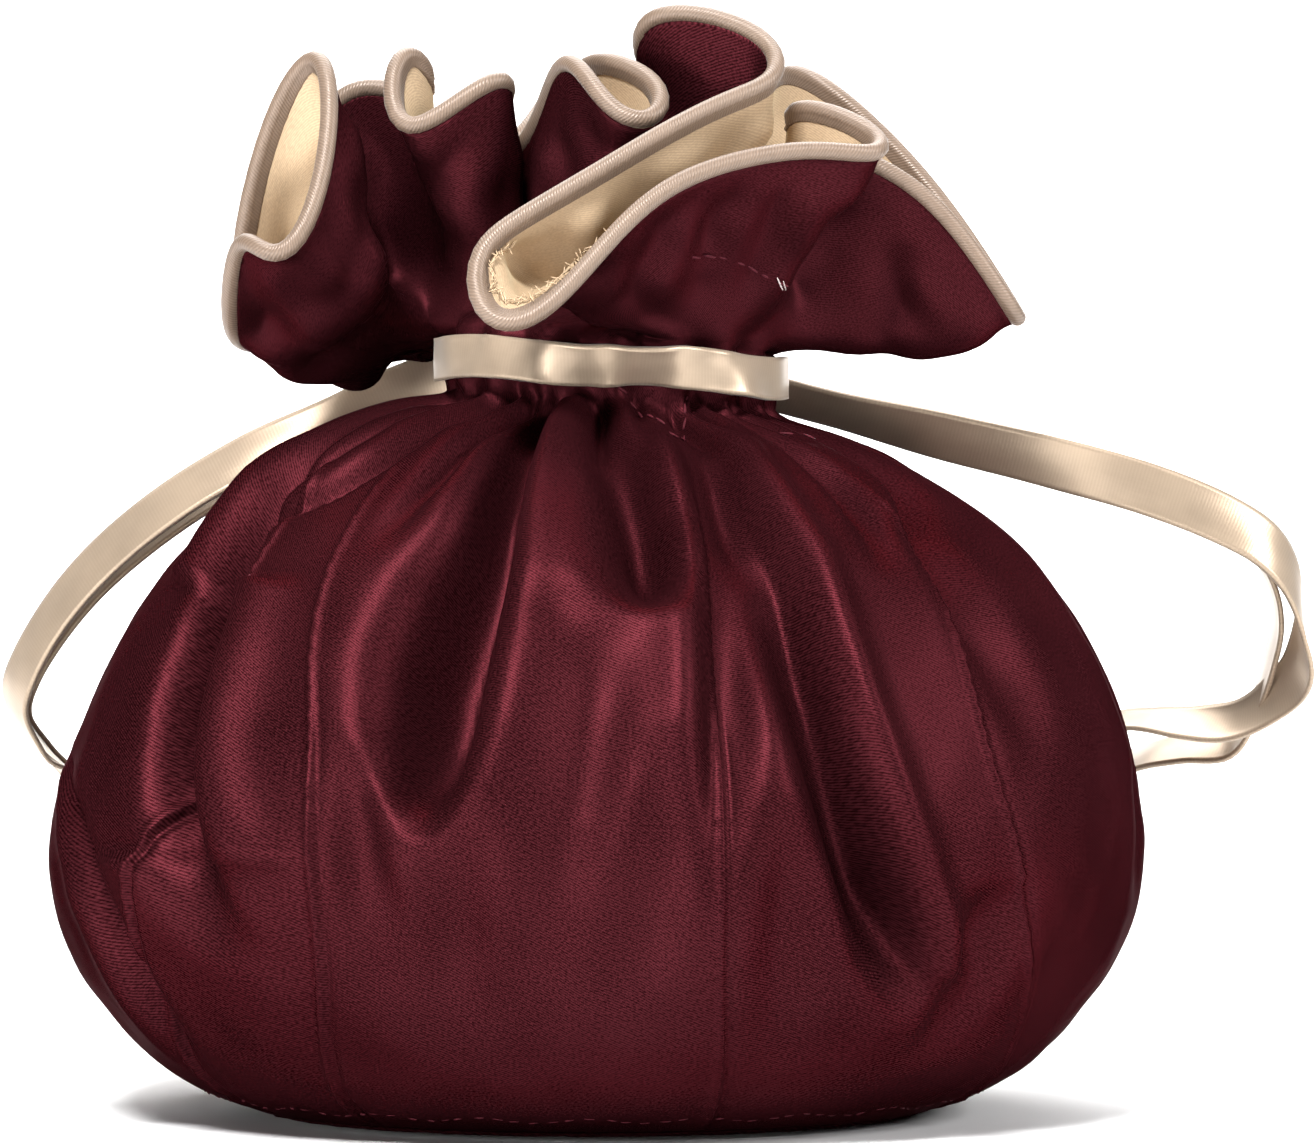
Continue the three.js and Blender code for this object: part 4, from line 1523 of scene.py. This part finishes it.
def ruffle_spans(columns):
    """Places across and along the ruffle's cloth, in metres."""
    across = column_spans(columns[:, RUFFLE["measured_row"]])
    return across, distances(columns.mean(axis=0)) * MM * RUFFLE["cloth_rise"]


class POUCH_OT_ruffle(bpy.types.Operator):
    """Makes the burgundy side of the ruffle above the neck"""

    bl_idname = "pouch.ruffle"
    bl_label = "Ruffle"

    def execute(self, context):
        sizes, _ = settings()
        columns = ruffle_layers()
        across, along = ruffle_spans(columns)
        mesh = wall_mesh("ruffle_cloth", columns, LAYER_GAP, LAYER_GAP + sizes.cloth / MM, across, along)
        item = dress(shown("ruffle_cloth", mesh, burgundy_satin()), "burgundy_satin", "ruffle")
        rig.sheet(item, held="gathered", rests_on=["gathered_body"], **ruffle_flat(columns))
        return {"FINISHED"}


def ruffle_flat(columns):
    """Width, height and area of the ruffle's cut, a strip that flares towards its edge, in metres."""
    wide = max(float(column_spans(columns[:, k])[-1, 1]) for k in range(columns.shape[1]))
    high = float(np.linalg.norm(np.diff(columns, axis=1), axis=-1).sum(axis=1).mean()) * MM
    along = np.roll(columns, -1, axis=0) - columns
    up = np.diff(columns, axis=1)
    area = float(np.linalg.norm(np.cross(along[:, :-1], up), axis=-1).sum()) * MM**2
    return {"flat": (wide, high), "area": area}


class POUCH_OT_lining(bpy.types.Operator):
    """Makes the gold side of the ruffle"""

    bl_idname = "pouch.lining"
    bl_label = "Lining"

    def execute(self, context):
        sizes, _ = settings()
        columns = ruffle_layers()[:, RUFFLE["lining_row"]:]
        across, along = ruffle_spans(columns)
        inner = -LAYER_GAP - sizes.lining / MM
        mesh = wall_mesh("gold_lining_cloth", columns, inner, -LAYER_GAP, across, along)
        item = dress(shown("gold_lining_cloth", mesh, gold_satin()), "gold_lining", "lining")
        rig.sheet(item, held="gathered", rests_on=["ruffle_cloth"], **ruffle_flat(columns))
        return {"FINISHED"}


class POUCH_OT_piping(bpy.types.Operator):
    """Makes the piping along the ruffle's edge"""

    bl_idname = "pouch.piping"
    bl_label = "Piping"

    def execute(self, context):
        sizes, _ = settings()
        columns = ruffle_columns()
        edge = columns[:, -1]
        along = unit(np.roll(edge, -1, axis=0) - np.roll(edge, 1, axis=0))
        outside = unit(np.cross(edge - columns[:, -2], along))
        outside = unit(softened(softened(softened(outside))))
        inwards = unit(np.cross(along, outside))
        flip = np.sign(np.einsum("ij,ij->i", inwards, columns[:, -2] - edge))[:, None]
        inwards = inwards * flip
        cord = sizes.piping / MM
        flange = sizes.piping_flange / MM
        turns = np.linspace(0.0, 2.0 * math.pi, PIPING["sides"], endpoint=False)
        towards = np.array(PIPING["flange_place"])
        spokes = np.column_stack((np.cos(turns), np.sin(turns)))
        aim = spokes @ towards
        chord = aim**2 - towards @ towards + flange**2
        reach = np.where((chord > 0.0) & (aim > 0.0), aim + np.sqrt(np.maximum(chord, 0.0)), 0.0)
        reach = np.maximum(reach, cord)
        section = spokes * reach[:, None]
        rings = edge[:, None] + inwards[:, None] * section[None, :, :1]
        rings = rings + outside[:, None] * section[None, :, 1:]
        passed = np.concatenate((distances(section), [2.0 * math.pi * cord])) * MM
        mesh = loft_mesh("edge_piping", rings, column_spans(edge), passed)
        dress(shown("edge_piping", mesh, piping_satin()), "champagne_piping", "piping")
        return {"FINISHED"}


# Stitches


def stitch_tree():
    """Geometry nodes that set stitches along a line of edges."""
    tree = bpy.data.node_groups.new("Stitch line", "GeometryNodeTree")
    face = tree.interface
    face.new_socket("Line", in_out="INPUT", socket_type="NodeSocketGeometry")
    for name in ("Pitch", "Length", "Thread", "Sway"):
        face.new_socket(name, in_out="INPUT", socket_type="NodeSocketFloat")
    face.new_socket("Material", in_out="INPUT", socket_type="NodeSocketMaterial")
    face.new_socket("Stitches", in_out="OUTPUT", socket_type="NodeSocketGeometry")

    def node(kind, settings=None, sockets=None):
        """Adds a node and gives its first output."""
        made = tree.nodes.new(kind)
        for key, value in (settings or {}).items():
            setattr(made, key, value)
        for key, value in (sockets or {}).items():
            if isinstance(value, bpy.types.NodeSocket):
                tree.links.new(value, made.inputs[key])
            else:
                made.inputs[key].default_value = value
        return made.outputs[0] if made.outputs else None

    given = tree.nodes.new("NodeGroupInput").outputs
    curve = node("GeometryNodeMeshToCurve", {}, {"Mesh": given["Line"]})
    sockets = {"Curve": curve, "Length": given["Pitch"]}
    spaced = node("GeometryNodeResampleCurve", {"mode": "LENGTH"}, sockets)
    bead = node("GeometryNodeMeshUVSphere", {}, {"Segments": 6, "Rings": 5, "Radius": 1.0})
    half = node("ShaderNodeMath", {"operation": "MULTIPLY"}, {0: given["Length"], 1: 0.5})
    size = node("ShaderNodeCombineXYZ", {}, {0: given["Thread"], 1: given["Thread"], 2: half})
    tangent = node("GeometryNodeInputTangent")
    sockets = {"Min": (-1.0, -1.0, -1.0), "Seed": 7}
    chance = node("FunctionNodeRandomValue", {"data_type": "FLOAT_VECTOR"}, sockets)
    sway = node("ShaderNodeVectorMath", {"operation": "SCALE"}, {0: chance, "Scale": given["Sway"]})
    leaning = node("ShaderNodeVectorMath", {"operation": "ADD"}, {0: tangent, 1: sway})
    turned = node("FunctionNodeAlignRotationToVector", {"axis": "Z"}, {"Vector": leaning})
    sockets = {"Points": spaced, "Instance": bead, "Rotation": turned, "Scale": size}
    placed = node("GeometryNodeInstanceOnPoints", {}, sockets)
    real = node("GeometryNodeRealizeInstances", {}, {"Geometry": placed})
    smooth = node("GeometryNodeSetShadeSmooth", {}, {"Geometry": real})
    clad = node("GeometryNodeSetMaterial", {}, {"Geometry": smooth, "Material": given["Material"]})
    node("NodeGroupOutput", {}, {"Stitches": clad})
    return tree


def stitched(name, lines, tree, inputs):
    """One mesh of stitches along lines of points in millimetres."""
    points = np.concatenate(lines) * MM
    edges = []
    start = 0
    for line in lines:
        edges += [(start + k, start + k + 1) for k in range(len(line) - 1)]
        start += len(line)
    mesh = bpy.data.meshes.new(name)
    mesh.from_pydata(points.tolist(), edges, [])
    item = bpy.data.objects.new(name, mesh)
    bpy.context.scene.collection.objects.link(item)
    modifier = item.modifiers.new("Stitches", "NODES")
    modifier.node_group = tree
    for socket in tree.interface.items_tree:
        if socket.name in inputs:
            modifier[socket.identifier] = inputs[socket.name]
    evaluated = item.evaluated_get(bpy.context.evaluated_depsgraph_get())
    made = bpy.data.meshes.new_from_object(evaluated)
    item.modifiers.clear()
    item.data = made
    made.name = name
    return item


def seam_lines():
    """The dividing seams, the base seam and the casing's stitches on the body, and the slit on the ruffle."""
    heights = np.linspace(SEAM_STITCHES["from"], SEAM_STITCHES["to"], SEAM_STITCHES["steps"])
    lines = []
    for _, angles in SEAMS:
        points = body_points(seam_angle(angles, heights), heights)
        lines.append(points - unit(points - SEAM_MIDDLE) * SEAM_STITCHES["sunk"])
    turns = np.linspace(-180.0, 180.0, BASE_STITCHES["steps"])
    ripple = np.sin(np.radians(turns) * BASE_STITCHES["waves"])
    foot = body_points(turns, BASE_STITCHES["height"] + BASE_STITCHES["wave"] * ripple)
    lines.append(foot - unit(foot - FOOT_MIDDLE) * BASE_STITCHES["sunk"])
    for row in CASING:
        places = even_line(np.array(row), FINE["casing"])
        points = body_points(places[:, 0], places[:, 1])
        lines.append(points + unit(points - SEAM_MIDDLE) * THREAD_LIFT["casing"])
    lines.append(ruffle_line(SLIT, THREAD_LIFT["slit"]))
    return lines


def ruffle_line(places, out):
    """A smooth line over columns and rows of the ruffle, lifted off its middle surface."""
    columns = ruffle_layers()
    lifted = columns + grid_normals(columns) * out
    points = np.array([lifted[column, row] for column, row in places])
    return smooth_curve(points, np.linspace(0.0, 1.0, FINE["ruffle_line"]))


class POUCH_OT_stitching(bpy.types.Operator):
    """Sews the seams, the casing and the slit, and adds the frayed edge and an end of thread"""

    bl_idname = "pouch.stitching"
    bl_label = "Stitching"

    def execute(self, context):
        sizes, tints = settings()
        tree = stitch_tree()
        thread = finish_of("burgundy thread", lambda name: thread_finish(name, tints.thread))
        inputs = {
            "Pitch": sizes.stitch_gap,
            "Length": sizes.stitch,
            "Thread": sizes.thread,
            "Sway": STITCH_SWAY,
            "Material": thread,
        }
        dress(stitched("seam_stitches", seam_lines(), tree, inputs), "burgundy_satin")
        loose = {
            "Pitch": sizes.fray_gap,
            "Length": sizes.fray,
            "Thread": sizes.fray_thread,
            "Sway": LOOSE_SWAY,
        }
        gold = finish_of("gold thread", lambda name: thread_finish(name, tints.gold))
        edge = ruffle_line(FRAY, THREAD_LIFT["fray"])
        fray = stitched("frayed_edge", [edge], tree, {**loose, "Material": gold})
        dress(fray, "gold_lining")
        pale = finish_of("pale thread", lambda name: thread_finish(name, tints.pale_thread))
        end = ruffle_line(SLIT, THREAD_LIFT["end"])[-4:]
        dress(stitched("thread_end", [end], tree, {**loose, "Material": pale}), "champagne_ribbon")
        return {"FINISHED"}


# Stage


def area_light(name, place, target, size, power):
    data = bpy.data.lights.new(name, "AREA")
    data.shape = "RECTANGLE"
    data.size, data.size_y = size
    data.energy = power
    light = bpy.data.objects.new(name, data)
    bpy.context.scene.collection.objects.link(light)
    light.location = place
    aim(light, target)


def aim(item, target):
    item.rotation_euler = (Vector(target) - item.location).to_track_quat("-Z", "Y").to_euler()


class POUCH_OT_stage(bpy.types.Operator):
    """Sets the camera, the lights and the pale floor with its curved backdrop"""

    bl_idname = "pouch.stage"
    bl_label = "Stage"

    def execute(self, context):
        scene = context.scene
        _, tints = settings()
        data = bpy.data.cameras.new("Camera")
        data.sensor_width = CAMERA["sensor"]
        data.lens = CAMERA["lens"]
        camera = bpy.data.objects.new("Camera", data)
        scene.collection.objects.link(camera)
        camera.location = CAMERA["place"]
        aim(camera, CAMERA["target"])
        scene.camera = camera

        finish = Finish("studio paper")
        grain = finish.noise(900.0, 2.0)
        paper = finish.surface(
            {
                "Base Color": finish.blend(grain, rgba(tints.floor, 0.98), rgba(tints.floor)),
                "Roughness": 0.7 + (grain - 0.5) * 0.1,
            }
        )
        back = FLOOR["back"]
        level = FLOOR["level"]
        curve = FLOOR["curve"]
        sweep = [(FLOOR["front"], level), (back, level)]
        for turn in np.linspace(*FLOOR["turns"], FLOOR["steps"]):
            sweep.append((back + curve * math.sin(turn), curve - curve * math.cos(turn) + level))
        sweep.append((back + curve, FLOOR["top"]))
        half = FLOOR["half_width"]
        points = [(side * half, place, up) for place, up in sweep for side in (-1.0, 1.0)]
        faces = [(2 * k, 2 * k + 1, 2 * k + 3, 2 * k + 2) for k in range(len(sweep) - 1)]
        mesh = bpy.data.meshes.new("floor")
        mesh.from_pydata(points, [], faces)
        mesh.shade_smooth()
        floor = shown("floor", mesh, paper)
        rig.stage(floor)

        world = bpy.data.worlds.new("studio")
        scene.world = world
        world.use_nodes = True
        sky = world.node_tree.nodes["Background"].inputs
        sky["Color"].default_value = (1.0, 1.0, 1.0, 1.0)
        sky["Strength"].default_value = WORLD_LIGHT
        for light in LIGHTS:
            area_light(*light)
        scene.view_settings.view_transform = "Standard"
        return {"FINISHED"}


class POUCH_PT_panel(bpy.types.Panel):
    """Lists the pouch's pieces, sizes and colours"""

    bl_label = "Pouch"
    bl_idname = "POUCH_PT_panel"
    bl_space_type = "VIEW_3D"
    bl_region_type = "UI"
    bl_category = "Pouch"

    def draw(self, context):
        for operator in OPERATORS:
            self.layout.operator(operator.bl_idname)
        for group in (context.scene.pouch_sizes, context.scene.pouch_colours):
            box = self.layout.box()
            for name in group.__annotations__:
                box.prop(group, name)


OPERATORS = (
    POUCH_OT_stage,
    POUCH_OT_drawstrings,
    POUCH_OT_neck_ribbon,
    POUCH_OT_base,
    POUCH_OT_body,
    POUCH_OT_ruffle,
    POUCH_OT_lining,
    POUCH_OT_piping,
    POUCH_OT_stitching,
)
CLASSES = (PouchSizes, PouchColours, *OPERATORS, POUCH_PT_panel)


def register():
    for each in CLASSES:
        bpy.utils.register_class(each)
    bpy.types.Scene.pouch_sizes = bpy.props.PointerProperty(type=PouchSizes)
    bpy.types.Scene.pouch_colours = bpy.props.PointerProperty(type=PouchColours)


def unregister():
    del bpy.types.Scene.pouch_colours
    del bpy.types.Scene.pouch_sizes
    for each in reversed(CLASSES):
        bpy.utils.unregister_class(each)


def main():
    register()
    for operator in OPERATORS:
        group, action = operator.bl_idname.split(".")
        getattr(getattr(bpy.ops, group), action)()
    with open("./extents.json", "w") as file:
        json.dump({"cad": CAD_BOX, "visual": [list(corner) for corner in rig.bounds()]}, file)


if __name__ == "__main__":
    main()
